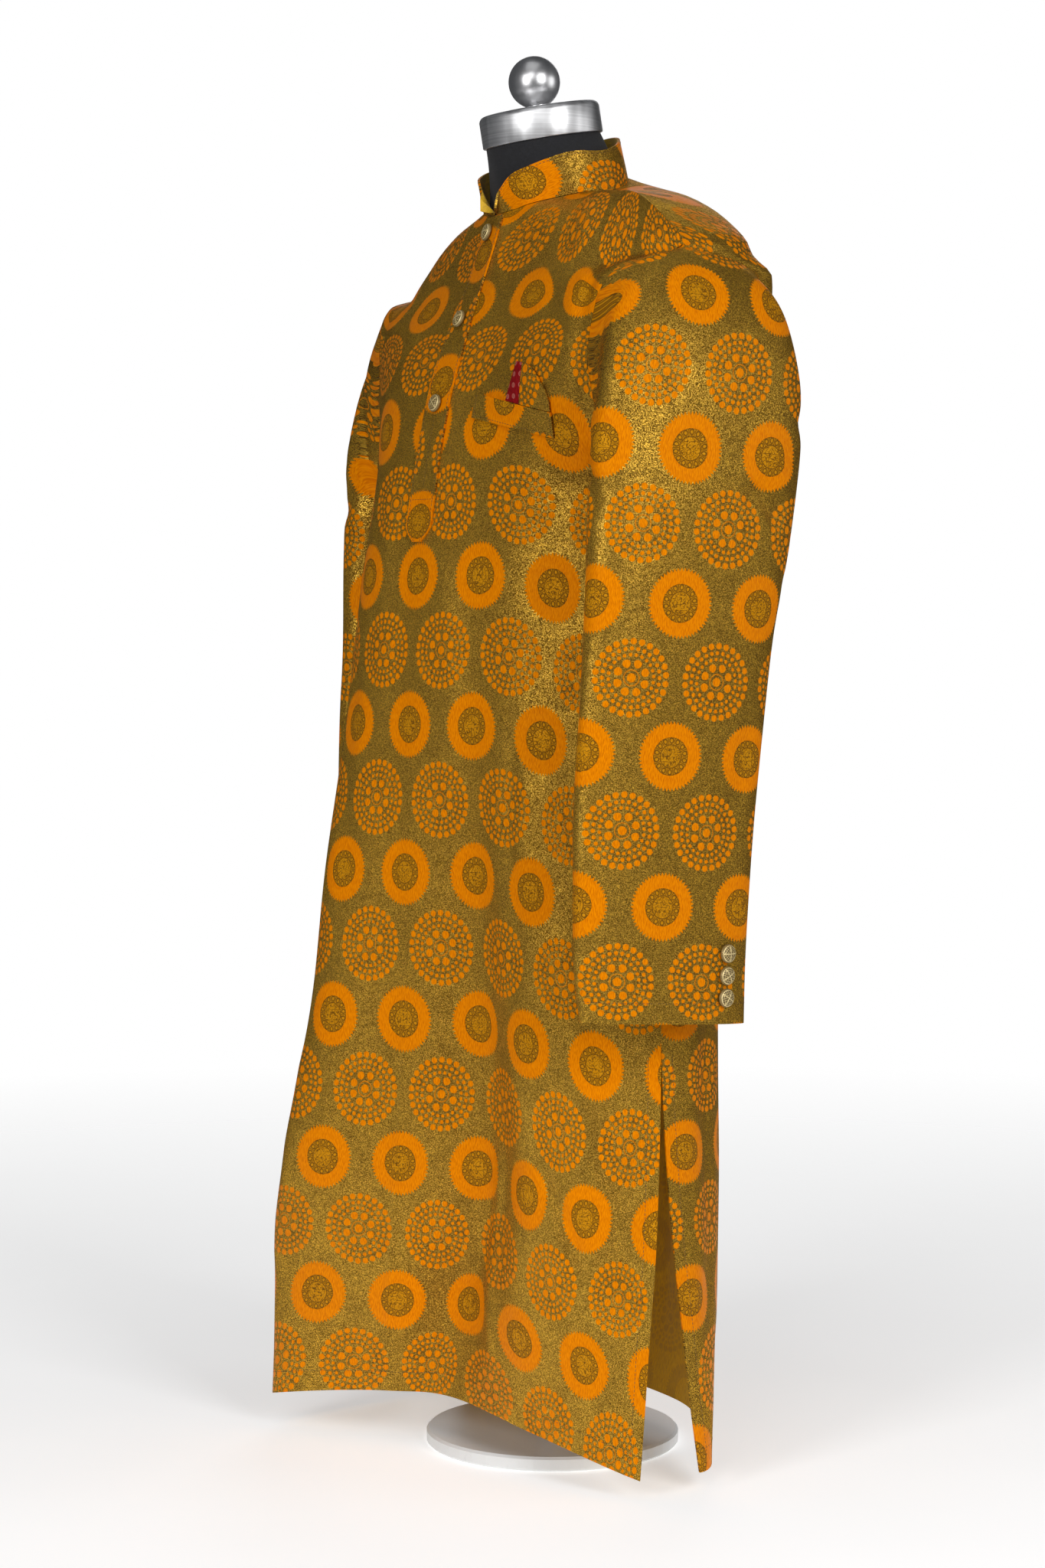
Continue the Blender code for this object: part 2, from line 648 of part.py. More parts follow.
def form_torso():
    """The covered torso and neck of the form, one closed body."""
    rings = [oval_ring(*row) for row in FORM_ROWS]
    levels = [at for at in body_levels() if at >= ARMPIT_ROW]
    insets = [along(FORM_INSETS, 0, at - ARMPIT_ROW) for at in levels]
    front = inset_lines([front_line(at) for at in levels], insets)
    back = inset_lines([back_line(at) for at in levels], insets)
    rings += [a + b for a, b in zip(front, back)]
    count = len(rings[-1])
    foot, top = rings[-1], neck_top_ring()
    for share in NECK_RINGS:
        rings.append([a.lerp(b, share) for a, b in zip(foot, top)])
    points = [p for ring in rings for p in ring]
    faces = grid_faces(len(rings), count, True, 0, False)
    faces.append(tuple(range(count))[::-1])
    last = len(points) - count
    faces.append(tuple(range(last, last + count)))
    add_object("form_torso", points, faces, JERSEY, roughness=0.9)


def neck_cap():
    """A turned steel cap on the neck, with a ball on top."""
    axis = Matrix.Rotation(NECK_LEAN, 3, "X") @ Vector((0, 0, 1))
    seat = NECK_TOP + axis * SEAM_GAP
    r, h = CAP_R, CAP_HEIGHT
    foot_edge, top_edge = 0.0008, 0.004
    profile = [(0, 0), (r - foot_edge, 0), (r, foot_edge), (r, h - top_edge),
               (r - 0.3 * top_edge, h - 0.3 * top_edge), (r - top_edge, h), (0, h)]
    turned("neck_cap", profile, seat, axis, STEEL, count=40, metallic=1.0, roughness=0.3)
    foot = seat + axis * (h + SEAM_GAP)
    centre = BALL_STEM_RISE + math.sqrt(BALL_R ** 2 - BALL_STEM_R ** 2)
    first = math.asin(BALL_STEM_R / BALL_R)
    ball = [(0, 0), (BALL_STEM_R, 0), (BALL_STEM_R, BALL_STEM_RISE)]
    for n in range(1, BALL_RINGS):
        angle = first + (math.pi - first) * n / BALL_RINGS
        ball.append((BALL_R * math.sin(angle), centre - BALL_R * math.cos(angle)))
    ball.append((0, centre + BALL_R))
    turned("ball_finial", ball, foot, axis, STEEL, count=20, metallic=1.0, roughness=0.2)


def stand():
    """A pole up into the form, and a flat round weighted base."""
    edge = 0.002
    base = [(0, 0), (BASE_R - edge, 0), (BASE_R, edge), (BASE_R, BASE_THICK - edge),
            (BASE_R - edge, BASE_THICK), (0, BASE_THICK)]
    up = Vector((0, 0, 1))
    floor = Vector((0, 0, FLOOR_Z))
    turned("stand_base", base, floor, up, PALE, count=48, roughness=0.4)
    low, high = BASE_THICK + SEAM_GAP, FORM_BOTTOM_Z - FLOOR_Z - SEAM_GAP
    pole = [(0, low), (POLE_R, low), (POLE_R, high), (0, high)]
    turned("stand_pole", pole, floor, up, STEEL, count=24, metallic=1.0, roughness=0.3)


def main():
    clear_scene()
    panel = body_panels()
    grids = sleeves()
    collar()
    placket(panel)
    pocket(panel)
    front_buttons(panel)
    cuff_buttons(grids)
    form_torso()
    neck_cap()
    stand()


main()
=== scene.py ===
"""Brocade kurta on a limbless dress form, dressed and lit for a product photograph. Metres, +Z up.

The cloth is laid over the forms of the part's solids, from the same sizes, with finer creases, weave,
stitching and buttons. The wearer's front faces -Y and the wearer's left is +X.
"""
import math

import bpy
import numpy as np
from mathutils import Matrix, Vector


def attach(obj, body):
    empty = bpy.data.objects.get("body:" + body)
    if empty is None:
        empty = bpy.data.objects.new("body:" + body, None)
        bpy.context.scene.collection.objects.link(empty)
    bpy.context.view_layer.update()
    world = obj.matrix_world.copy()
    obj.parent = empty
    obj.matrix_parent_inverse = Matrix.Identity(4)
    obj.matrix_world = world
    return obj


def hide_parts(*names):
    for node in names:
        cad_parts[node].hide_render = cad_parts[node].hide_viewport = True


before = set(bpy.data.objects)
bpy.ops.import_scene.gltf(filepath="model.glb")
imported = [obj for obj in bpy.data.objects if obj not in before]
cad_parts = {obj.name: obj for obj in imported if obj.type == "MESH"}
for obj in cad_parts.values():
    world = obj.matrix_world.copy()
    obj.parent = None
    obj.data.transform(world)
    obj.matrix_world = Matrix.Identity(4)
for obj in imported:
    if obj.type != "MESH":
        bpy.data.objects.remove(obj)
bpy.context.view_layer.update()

# Heights in the tables are measured from a level that lies under the floor by this much
FLOOR_Z = 0.018

# Cloth
WALL = 0.0018
SEAM_GAP = 0.0003

# Body of the kurta, a row for each level from the hem to the neck seam
BODY_COLUMNS = ("edge_z", "half", "edge_front", "edge_back", "front_z", "back_z", "back", "square")
BODY_ROWS = (
    (0.034, 0.2, -0.033, 0.021, 0.064, 0.06, 0.076, 1.0),
    (0.09, 0.199, -0.028, 0.013, 0.105, 0.105, 0.086, 0.92),
    (0.15, 0.198, -0.023, 0.006, 0.155, 0.155, 0.093, 0.88),
    (0.2, 0.197, -0.018, 0.0, 0.202, 0.202, 0.097, 0.88),
    (0.26, 0.195, -0.014, -0.005, 0.26, 0.26, 0.1, 0.88),
    (0.37, 0.19, -0.009, -0.009, 0.37, 0.37, 0.103, 0.88),
    (0.5, 0.187, -0.008, -0.008, 0.5, 0.5, 0.104, 0.88),
    (0.617, 0.183, -0.006, -0.006, 0.617, 0.617, 0.103, 0.88),
    (0.72, 0.182, -0.003, -0.003, 0.72, 0.72, 0.106, 0.88),
    (0.8, 0.183, 0.0, 0.0, 0.8, 0.8, 0.113, 0.88),
    (0.84, 0.181, -0.052, 0.052, 0.838, 0.842, 0.117, 0.86),
    (0.9, 0.18, -0.07, 0.077, 0.886, 0.906, 0.118, 0.8),
    (0.945, 0.187, -0.066, 0.081, 0.927, 0.957, 0.115, 0.72),
    (0.97, 0.195, -0.052, 0.073, 0.953, 0.983, 0.111, 0.66),
    (0.989, 0.201, 0.002, 0.002, 0.967, 1.004, 0.106, 0.6),
    (1.015, 0.17, 0.002, 0.002, 0.986, 1.031, 0.098, 0.62),
    (1.039, 0.12, 0.001, 0.001, 1.005, 1.052, 0.083, 0.8),
    (1.0445, 0.067, 0.0, 0.0, 1.029, 1.066, 0.06, 1.0),
)

# For the same rows, turns of the front panel in plan
TURN_COLUMNS = ("far_x", "far_y", "mid_x", "mid_y", "valley_x", "valley_y", "ridge_x", "ridge_y")
TURN_ROWS = (
    (-0.157, -0.185, -0.06, -0.127, -0.014, -0.096, 0.1, -0.078),
    (-0.156, -0.183, -0.048, -0.132, -0.004, -0.09, 0.1, -0.081),
    (-0.152, -0.182, -0.034, -0.136, 0.01, -0.086, 0.104, -0.084),
    (-0.137, -0.186, -0.024, -0.137, 0.036, -0.085, 0.112, -0.084),
    (-0.119, -0.187, -0.012, -0.138, 0.054, -0.087, 0.12, -0.084),
    (-0.102, -0.174, -0.002, -0.137, 0.058, -0.095, 0.123, -0.088),
    (-0.096, -0.1605, 0.0, -0.137, 0.06, -0.104, 0.121, -0.09),
    (-0.092, -0.1445, 0.0, -0.136, 0.062, -0.111, 0.121, -0.084),
    (-0.09, -0.1315, 0.0, -0.1295, 0.063, -0.107, 0.121, -0.075),
    (-0.088, -0.1195, 0.0, -0.119, 0.062, -0.101, 0.122, -0.073),
    (-0.088, -0.1148, 0.0, -0.113, 0.061, -0.098, 0.121, -0.079),
    (-0.086, -0.1066, 0.0, -0.103, 0.058, -0.091, 0.124, -0.084),
    (-0.092, -0.0907, 0.0, -0.089, 0.055, -0.082, 0.129, -0.077),
    (-0.12, -0.0705, 0.0, -0.079, 0.056, -0.076, 0.136, -0.068),
    (-0.138, -0.056, 0.0, -0.073, 0.056, -0.071, 0.142, -0.058),
    (-0.122, -0.046, 0.0, -0.066, 0.048, -0.063, 0.124, -0.047),
    (-0.084, -0.041, 0.0, -0.06, 0.038, -0.056, 0.086, -0.042),
    (-0.045, -0.039, 0.0, -0.053, 0.024, -0.05, 0.045, -0.039),
)
SLIT_ROW, ARMPIT_ROW, SHOULDER_ROW, NECK_ROW = 5, 9, 14, 17
NECK_HALF, NECK_FRONT, NECK_BACK = 0.067, 0.053, 0.06
WING_SHARE, WING_BACK = 0.35, 0.05  # how the front panel would run on past its side edges
PANEL_SPACES = 150  # spaces across each panel
CENTRE_COLUMN = 60  # the front panel's column on the centre line
ROW_HEIGHT = 0.006  # about, between the rows of a panel
EDGE_FADE_COLUMNS = 10  # over which creases die out at a panel's sides
ARMHOLE_DEPTH = 0.012  # an edge further than this from y = 0 is part of the armhole

# Folds of the back: place across it, depth, width, and the row number where each ends
BACK_FOLDS = (
    (-0.52, 0.012, 0.17, 7.0),
    (-0.12, -0.009, 0.16, 6.0),
    (0.3, 0.011, 0.15, 6.6),
    (0.62, -0.008, 0.12, 5.2),
)

# A row for each ring of the sleeve below the armhole
SLEEVE_COLUMNS = ("inner_x", "inner_z", "outer_x", "outer_z", "front", "back", "square", "tilt")
SLEEVE_ROWS = (
    (0.19, 0.794, 0.213, 0.981, -0.073, 0.084, 0.7, 0.0),
    (0.196, 0.786, 0.233, 0.962, -0.082, 0.091, 0.72, 0.0),
    (0.2, 0.772, 0.25, 0.925, -0.09, 0.091, 0.76, 0.0),
    (0.202, 0.752, 0.26, 0.868, -0.096, 0.087, 0.82, 0.0),
    (0.203, 0.715, 0.262, 0.785, -0.098, 0.077, 0.86, 0.0),
    (0.203, 0.655, 0.258, 0.7, -0.1, 0.063, 0.86, 0.0),
    (0.204, 0.595, 0.252, 0.615, -0.103, 0.055, 0.86, 0.0),
    (0.205, 0.52, 0.247, 0.53, -0.106, 0.049, 0.86, 0.0),
    (0.207, 0.45, 0.243, 0.455, -0.106, 0.045, 0.86, 0.035),
    (0.209, 0.3945, 0.241, 0.3945, -0.101, 0.043, 0.86, 0.06),
)
RIGHT_SLEEVE_BACK = 0.02
SLEEVE_HALF_RING = 60  # spaces round half of the sleeve
RINGS_A_ROW = 12
HEAD_RINGS = 5  # rings between the armhole and the first row
HEAD_ROWS = 0.6667  # what the head counts for in row numbers
HEAD_FADE_RINGS, SEAM_FADE_COLUMNS = 12.0, 5.0
ARMHOLE_LIFT = SEAM_GAP + 0.0002

# Collar
COLLAR_HEIGHT = 0.032
COLLAR_FRONT_DROP = 0.005
COLLAR_CORNER_R = 0.024
COLLAR_BASE_GAP, COLLAR_TOP_GAP = 0.0022, 0.012
COLLAR_THICK = 0.002
COLLAR_FORWARD = 0.0045
COLLAR_FRONT_LEAN = COLLAR_BACK_LEAN = 0.05
COLLAR_WAVE, COLLAR_WAVES = 0.0005, 60.0
COLLAR_COLUMNS, COLLAR_ROWS = 181, 19

# Placket, pocket, folded square
PLACKET_HALF = 0.016
PLACKET_FOOT = ((0.764, 0.35), (0.77, 0.75), (0.776, 1.0))
PLACKET_FIRST_ROW = 0.004
PLACKET_TOP_DROP = 0.0015
PLACKET_THICK, PLACKET_GAP = 0.0014, 0.0004
PLACKET_SEAM_Z = 0.8023
PLACKET_LINE_ABOVE, PLACKET_LINE_BELOW = 0.004, 0.012  # the middle line's ends, from the seam and the button
POCKET_NEAR, POCKET_FAR = (0.048, 0.881), (0.143, 0.8615)
WELT_DEPTH, WELT_THICK = 0.0195, 0.0014
SQUARE_THICK, SQUARE_PUFF = 0.001, 0.0008
PATCH_GAP, SQUARE_GAP = 0.001, 0.0013
BROCADE_FOOT = (0.1067, 0.114, 0.1215, 0.129, 0.136, 0.1422)
BROCADE_TOP = ((0.1098, 0.901), (0.1155, 0.9005), (0.1235, 0.8965),
               (0.1315, 0.8885), (0.1385, 0.8795), (0.1425, 0.869))
MAROON_FOOT = (0.089, 0.0977, 0.1063)
MAROON_TOP = ((0.101, 0.903), (0.1052, 0.9025), (0.1093, 0.9012))
# Rows and columns of points on each of these
PLACKET_POINTS, WELT_POINTS, SQUARE_POINTS = (70, 13), (11, 41), (15, 25)

# Buttons; the profile gives (radius, height) as shares of the button's own
BUTTON_R, BUTTON_DEPTH, BUTTON_GAP = 0.0073, 0.0052, 0.0006
BUTTON_AROUND, BUTTON_RINGS = 72, 30
BUTTON_PROFILE = ((0.0, 1.0), (0.35, 0.965), (0.62, 0.88), (0.84, 0.7),
                  (0.95, 0.52), (1.0, 0.34), (0.97, 0.12), (0.8, 0.0))
RELIEF, RELIEF_FOOT = 0.00038, 0.4
CUFF_BUTTON_FROM_BACK = 0.025
FRONT_BUTTON_Z = (1.014, 0.943, 0.875)
CUFF_BUTTON_Z = (0.444, 0.4285, 0.413)
SLEEVE_MIDDLE_X = 0.224
FACING_STEP = 0.003  # between the two points that give a cuff button's direction

# Stitching: rings of a stitch as (share of its length, share of its radius)
STITCH_STEP, STITCH_LENGTH, STITCH_R, STITCH_SIDES = 0.0032, 0.0023, 0.00022, 6
STITCH_RINGS = ((-0.5, 0.45), (-0.32, 1.0), (0.32, 1.0), (0.5, 0.45))
STITCH_SUNK, STITCH_PROUD = -0.9, 0.1
HEM_DEPTH, SLIT_HEM, CUFF_HEM, EDGE_STITCH = 0.018, 0.01, 0.016, 0.0022

# Dress form: rows of height, half width, front and back below the armpit, and insets of the rows above it
FORM_ROWS = (
    (0.42, 0.146, -0.086, 0.082),
    (0.47, 0.15, -0.092, 0.088),
    (0.56, 0.145, -0.092, 0.087),
    (0.65, 0.145, -0.091, 0.087),
    (0.74, 0.153, -0.091, 0.092),
)
FORM_INSETS = [(inset,) for inset in (0.014, 0.0135, 0.012, 0.0105, 0.0085, 0.0044, 0.0036, 0.0032, 0.006)]
FORM_LOW_RINGS, FORM_RINGS, FORM_NECK_RINGS, FORM_NECK_START = 33, 49, 20, 0.05
FORM_COLUMNS = 50  # columns of the form taken from each panel
NECK_LEAN = math.radians(10)
NECK_TOP = Vector((0.0, -0.009, 1.0915))
NECK_TOP_R = 0.047
CAP_R, CAP_HEIGHT = 0.0495, 0.026
# How far the cap's profile lies in from its radius and down from its top
CAP_EDGE = ((0.0, 0.0042), (0.0006, 0.0026), (0.0016, 0.0012), (0.003, 0.0003), (0.0042, 0.0))
CAP_AROUND, CAP_SHARP = 160, 35
BALL_R, BALL_STEM_R, BALL_STEM_RISE = 0.0211, 0.0095, 0.0025
BALL_AROUND, BALL_RINGS, BALL_SHARP = 80, 40, 60

# Roundels of the weave: half a repeat sideways and upward separates the two kinds
REPEAT_U, REPEAT_V = 0.0735, 0.1194
DISC_R, DISC_CENTRE_R, INNER_R = 0.028, 0.015, 0.0092
DISC_TEETH, TOOTH_DEPTH = 54, 0.003
DISC_CELLS, CELL_R, CELL_BAND_R, CELL_BAND_HALF = 14, 0.0016, 0.0124, 0.0027
LINE_HALF, EDGE_SOFT, FRAY = 0.00045, 0.0003, 0.0016
MEDALLION_R, MEDALLION_CENTRE_R, MEDALLION_RING_R = 0.029, 0.0036, 0.0062
# Rings of dots in a medallion: how many, the ring's radius, the dots' radius, and their turn
MEDALLION_DOTS = (
    (26, 0.0284, 0.0026, 0.0),
    (28, 0.0229, 0.0017, 0.3),
    (24, 0.018, 0.0015, 0.1),
    (8, 0.0116, 0.0033, 0.0),
)
ROUNDEL_AREAS = ("Orange", "Centre", "Line")

# Where the roundels' columns lie on the front panel, by distance from its centre line: column -1 to
# column 4, a line for each row of discs from the hem upward
FIRST_COLUMN = -1
FRONT_COLUMN_PLACES = (
    (-0.0683, 0.0113, 0.074, 0.1612, 0.2254, 0.285),
    (-0.0698, 0.0033, 0.0715, 0.1467, 0.1994, 0.26),
    (-0.0689, 0.0, 0.0708, 0.1351, 0.1938, 0.256),
    (-0.064, 0.0, 0.0708, 0.1353, 0.19, 0.254),
    (-0.06, 0.0051, 0.0714, 0.1408, 0.193, 0.258),
    (-0.06, 0.005, 0.0735, 0.142, 0.2, 0.266),
    (-0.079, 0.0, 0.0605, 0.1505, 0.22, 0.29),
    (-0.078, 0.008, 0.1037, 0.1757, 0.26, 0.33),
    (-0.046, 0.025, 0.1, 0.14, 0.165, 0.19),
)

# How far the grain sinks below the panel's own rows, by distance from the centre line
GRAIN_PLACES = (-0.3, 0.08, 0.14, 0.2, 0.28)
GRAIN_SINKS = (0.0, 0.0, 0.01, 0.026, 0.033)
GRAIN_HEM = 0.15  # below this height the grain sinks less, half as much at the hem
DISC_LEVEL = 0.0855  # height of the first row of discs on the front panel

# Heights on each piece of cloth, and the heights in the weave that lie there
FRONT_HEIGHTS = (0.0, 0.8616, 0.906, 0.956, 0.985)
FRONT_WEAVE_HEIGHTS = (0.0, 0.8616, 0.9213, 0.981, 1.035)
BACK_HEIGHTS = (0.1179, 0.2288, 0.96, 1.0063)
BACK_WEAVE_HEIGHTS = (0.0, 0.1194, 0.8955, 0.9552)
BACK_SHIFT = 0.0085
SLEEVE_HEIGHTS = (0.0896, 0.204, 0.3192, 0.4349, 0.5573)
SLEEVE_WEAVE_HEIGHTS = (0.0, 0.1194, 0.2388, 0.3582, 0.4776)
SLEEVE_DRIFT = (0.0107, 0.0127, 0.017, 0.0205, 0.0111)
PLACKET_HEIGHTS = (0.7805, 0.8921, 0.9961)
PLACKET_WEAVE_HEIGHTS = (0.0, 0.1194, 0.2388)
COLLAR_DISC, COLLAR_TURN, COLLAR_STRETCH = (0.0415, 0.0187), math.radians(78.9), 0.94
WELT_WEAVE = (-0.089, -0.8765)
SQUARE_WEAVE = (-0.0673, -0.8323)

# Creases: from (u, v) to (u, v) on the cloth, width, and how far they stand out
FRONT_CREASES = (
    (0.002, 0.02, 0.0, 0.33, 0.003, 0.0011),
    (0.178, 0.925, 0.185, 0.74, 0.012, -0.0065),
    (0.205, 0.93, 0.196, 0.8, 0.01, 0.0035),
    (0.11, 0.985, 0.15, 0.915, 0.008, 0.0035),
    (0.12, 0.905, 0.165, 0.85, 0.009, -0.002),
    (0.11, 0.56, 0.122, 0.33, 0.01, -0.003),
    (0.165, 0.42, 0.19, 0.12, 0.013, 0.003),
    (0.155, 0.225, 0.215, 0.12, 0.006, -0.0035),
    (0.205, 0.27, 0.25, 0.09, 0.014, -0.004),
    (0.09, 0.25, 0.12, 0.02, 0.011, 0.0035),
    (-0.04, 0.76, -0.025, 0.56, 0.012, 0.0018),
    (-0.075, 0.64, -0.06, 0.4, 0.014, -0.0022),
    (-0.105, 0.33, -0.125, 0.06, 0.015, 0.003),
    (-0.17, 0.905, -0.185, 0.74, 0.013, -0.0055),
    (-0.2, 0.9, -0.192, 0.79, 0.009, 0.003),
    (-0.15, 0.52, -0.165, 0.22, 0.014, -0.003),
    (0.03, 0.72, 0.09, 0.7, 0.008, -0.0012),
    (0.035, 0.7, 0.06, 0.48, 0.013, 0.0016),
)
BACK_CREASES = (
    (-0.205, 0.915, -0.19, 0.76, 0.012, -0.0055),
    (0.2, 0.915, 0.192, 0.75, 0.013, -0.0055),
    (0.11, 0.89, 0.165, 0.84, 0.01, 0.0022),
    (-0.15, 0.88, -0.105, 0.845, 0.009, 0.002),
    (0.03, 0.84, 0.01, 0.62, 0.015, -0.0025),
    (-0.06, 0.7, -0.085, 0.42, 0.013, 0.0025),
    (0.11, 0.66, 0.09, 0.35, 0.014, -0.0028),
    (0.18, 0.42, 0.195, 0.08, 0.012, 0.003),
    (-0.19, 0.36, -0.205, 0.06, 0.013, -0.0035),
    (-0.02, 0.3, -0.035, 0.03, 0.011, 0.003),
)
LEFT_SLEEVE_CREASES = (
    (0.03, 0.41, 0.078, 0.392, 0.009, -0.0045),
    (0.045, 0.432, 0.085, 0.42, 0.008, 0.0022),
    (-0.095, 0.3, -0.08, 0.09, 0.009, 0.0018),
    (-0.02, 0.52, -0.045, 0.47, 0.011, -0.0015),
    (0.06, 0.25, 0.045, 0.1, 0.012, -0.0016),
    (-0.12, 0.42, -0.085, 0.385, 0.009, -0.0035),
    (-0.13, 0.48, -0.1, 0.445, 0.011, 0.0028),
    (0.12, 0.5, 0.09, 0.455, 0.011, -0.004),
    (0.13, 0.36, 0.095, 0.33, 0.01, -0.003),
)
RIGHT_SLEEVE_CREASES = (
    (-0.03, 0.395, -0.085, 0.372, 0.01, -0.0045),
    (-0.05, 0.42, -0.09, 0.404, 0.0085, 0.0024),
    (0.09, 0.28, 0.08, 0.07, 0.01, 0.0018),
    (0.025, 0.51, 0.05, 0.45, 0.012, -0.0018),
    (-0.065, 0.24, -0.04, 0.11, 0.012, -0.0015),
    (0.115, 0.43, 0.085, 0.39, 0.01, -0.0038),
    (0.13, 0.49, 0.105, 0.44, 0.01, 0.0025),
    (-0.125, 0.49, -0.095, 0.445, 0.012, -0.0042),
)

# Colours of the weave
GOLD_THREAD = (0.9, 0.52, 0.06)
GROUND_BROWN, GROUND_DARK = (0.1, 0.05, 0.009), (0.048, 0.023, 0.004)
CENTRE_GOLD = (0.64, 0.255, 0.0)
ORANGE_DEEP, ORANGE_LIGHT = (0.64, 0.155, 0.0), (0.82, 0.25, 0.0)
THREAD_BROWN = (0.1, 0.04, 0.006)
SATIN_GLINT = (1.0, 0.6, 0.12)
WHITE = (1.0, 1.0, 1.0)

# Studio
CAMERA_AT = Vector((2.3287, -1.2959, 0.6845))
CAMERA_AIM = Vector((-0.0397, -0.0067, 0.5463))
CAMERA_LENS, SENSOR_HEIGHT = 74.13, 36.0
SURROUND_LIGHT = 0.07
FLOOR_RADIUS, FLOOR_SIDES, FLOOR_GLOW = 2.4, 96, 0.42
# Lights by name: where they stand, how large they are, and their power in watts
LIGHTS = (
    ("key", (2.9, 0.1, 1.6), (1.2, 1.4), 42.0),
    ("front", (1.3, -2.7, 1.3), (0.9, 1.5), 38.0),
    ("fill", (2.1, -2.0, 2.3), (1.2, 1.2), 12.0),
    ("side", (1.8, 2.3, 1.2), (1.6, 1.6), 12.0),
    ("back", (-2.4, 1.6, 1.6), (1.4, 1.8), 12.0),
    ("top", (0.5, -0.6, 3.0), (1.6, 1.6), 4.0),
)
LIGHT_AIM = Vector((0.0, 0.0, 0.62))


# Curves and tables

def cubic(before, start, end, after, part):
    """A smooth curve from start to end, part being 0 to 1."""
    a = 2 * start
    b = end - before
    c = 2 * before - 5 * start + 4 * end - after
    d = 3 * (start - end) + after - before
    return 0.5 * (a + b * part + c * part ** 2 + d * part ** 3)


def gentle_slope(before, here, after):
    """The slope at a row that lets a column pass smoothly and never overshoot."""
    left, right = here - before, after - here
    return 0.0 if left * right <= 0 else 2 * left * right / (left + right)


def along(rows, column, at):
    """A column's value at row number at, which may lie between two rows."""
    at = min(max(at, 0.0), len(rows) - 1.0)
    k = min(int(at), len(rows) - 2)
    before, start, end, after = (rows[min(max(k + step, 0), len(rows) - 1)][column] for step in (-1, 0, 1, 2))
    first, last = gentle_slope(before, start, end), gentle_slope(start, end, after)
    if k == 0:
        first = end - start
    if k == len(rows) - 2:
        last = end - start
    t = at - k
    return (start * (1 + 2 * t) * (1 - t) ** 2 + first * t * (1 - t) ** 2
            + end * t * t * (3 - 2 * t) + last * t * t * (t - 1))


def level(columns, rows, at):
    """Every named column of a table at row number at."""
    return {name: along(rows, n, at) for n, name in enumerate(columns)}


def signed_power(value, power):
    return math.copysign(abs(value) ** power, value)


def bump_at(value, middle, width):
    return math.exp(-((value - middle) / width) ** 2)


def spread(low, high, count):
    return [low + (high - low) * n / (count - 1) for n in range(count)]


def between(first, last, share):
    return tuple(a + (b - a) * share for a, b in zip(first, last))


def mapped(values, places, targets):
    """Values carried from places to targets, straight on past both ends."""
    out = np.interp(values, places, targets)
    first = (targets[1] - targets[0]) / (places[1] - places[0])
    last = (targets[-1] - targets[-2]) / (places[-1] - places[-2])
    return out + np.minimum(values - places[0], 0.0) * first + np.maximum(values - places[-1], 0.0) * last


# Body of the kurta

def body_row(at):
    """Every named size of the body at row number at. Sewn edges of front and back are one."""
    row = level(BODY_COLUMNS, BODY_ROWS, at)
    row.update(level(TURN_COLUMNS, TURN_ROWS, at))
    if SLIT_ROW <= at <= ARMPIT_ROW or at >= SHOULDER_ROW:
        row["edge_back"] = row["edge_front"]
    return row


def front_plan(row, place):
    """A point of the front panel in plan; place runs 0 to 5, wearer's right edge to left edge."""
    wing = WING_SHARE * (row["edge_back"] - row["edge_front"])
    half, edge = row["half"], row["edge_front"]
    turns = [(row[f"{name}_x"], row[f"{name}_y"]) for name in ("far", "mid", "valley", "ridge")]
    stops = [(-half - wing, edge + WING_BACK), (-half, edge), *turns]
    stops += [(half, edge), (half + wing, edge + WING_BACK)]
    k = min(int(place), 4)
    return tuple(cubic(*(stops[k + step][axis] for step in range(4)), place - k) for axis in (0, 1))


def dropped(row, x, middle_z):
    """Height of a panel's row, which is middle_z on the centre line and edge_z at the side."""
    share = max(0.0, 1.0 - (x / row["half"]) ** 2)
    return row["edge_z"] + (middle_z - row["edge_z"]) * share - FLOOR_Z


def front_point(row, place):
    """Outer face of the front panel."""
    x, y = front_plan(row, place)
    return (x, y - SEAM_GAP / 2, dropped(row, x, row["front_z"]))


def back_fold(at, across):
    """How far the back panel stands out at a place across it."""
    total = 0.0
    for middle, depth, width, top_row in BACK_FOLDS:
        total += depth * max(0.0, 1.0 - at / top_row) * bump_at(across, middle, width)
    return total


def back_point(row, at, across):
    """Outer face of the back panel; across runs -1 to 1, wearer's right edge to left edge."""
    angle = across * math.pi / 2
    x = row["half"] * signed_power(math.sin(angle), row["square"])
    y = row["edge_back"] + (row["back"] - row["edge_back"]) * abs(math.cos(angle)) ** row["square"]
    y += back_fold(at, across) * math.cos(angle)
    return (x, y + SEAM_GAP / 2, dropped(row, x, row["back_z"]))


def fine_levels():
    """Row numbers spaced evenly up the body."""
    levels = []
    for k in range(NECK_ROW):
        rise = BODY_ROWS[k + 1][0] - BODY_ROWS[k][0]
        parts = max(3, math.ceil(rise / ROW_HEIGHT))
        levels += [k + n / parts for n in range(parts)]
    return levels + [float(NECK_ROW)]


def front_grid(levels):
    rows = [body_row(at) for at in levels]
    places = [5 * n / PANEL_SPACES for n in range(PANEL_SPACES + 1)]
    return np.array([[front_point(row, place) for place in places] for row in rows])


def back_grid(levels):
    rows = [(body_row(at), at) for at in levels]
    places = [1 - 2 * n / PANEL_SPACES for n in range(PANEL_SPACES + 1)]
    return np.array([[back_point(row, at, across) for across in places] for row, at in rows])


# Grids of points

def unit(vectors):
    return vectors / np.linalg.norm(vectors, axis=-1, keepdims=True)


def normals_of(grid, wrap=False):
    """The outward direction at every point of a grid, rows upward."""
    up = np.gradient(grid, axis=0)
    if wrap:
        over = np.roll(grid, -1, axis=1) - np.roll(grid, 1, axis=1)
    else:
        over = np.gradient(grid, axis=1)
    return unit(np.cross(over, up))


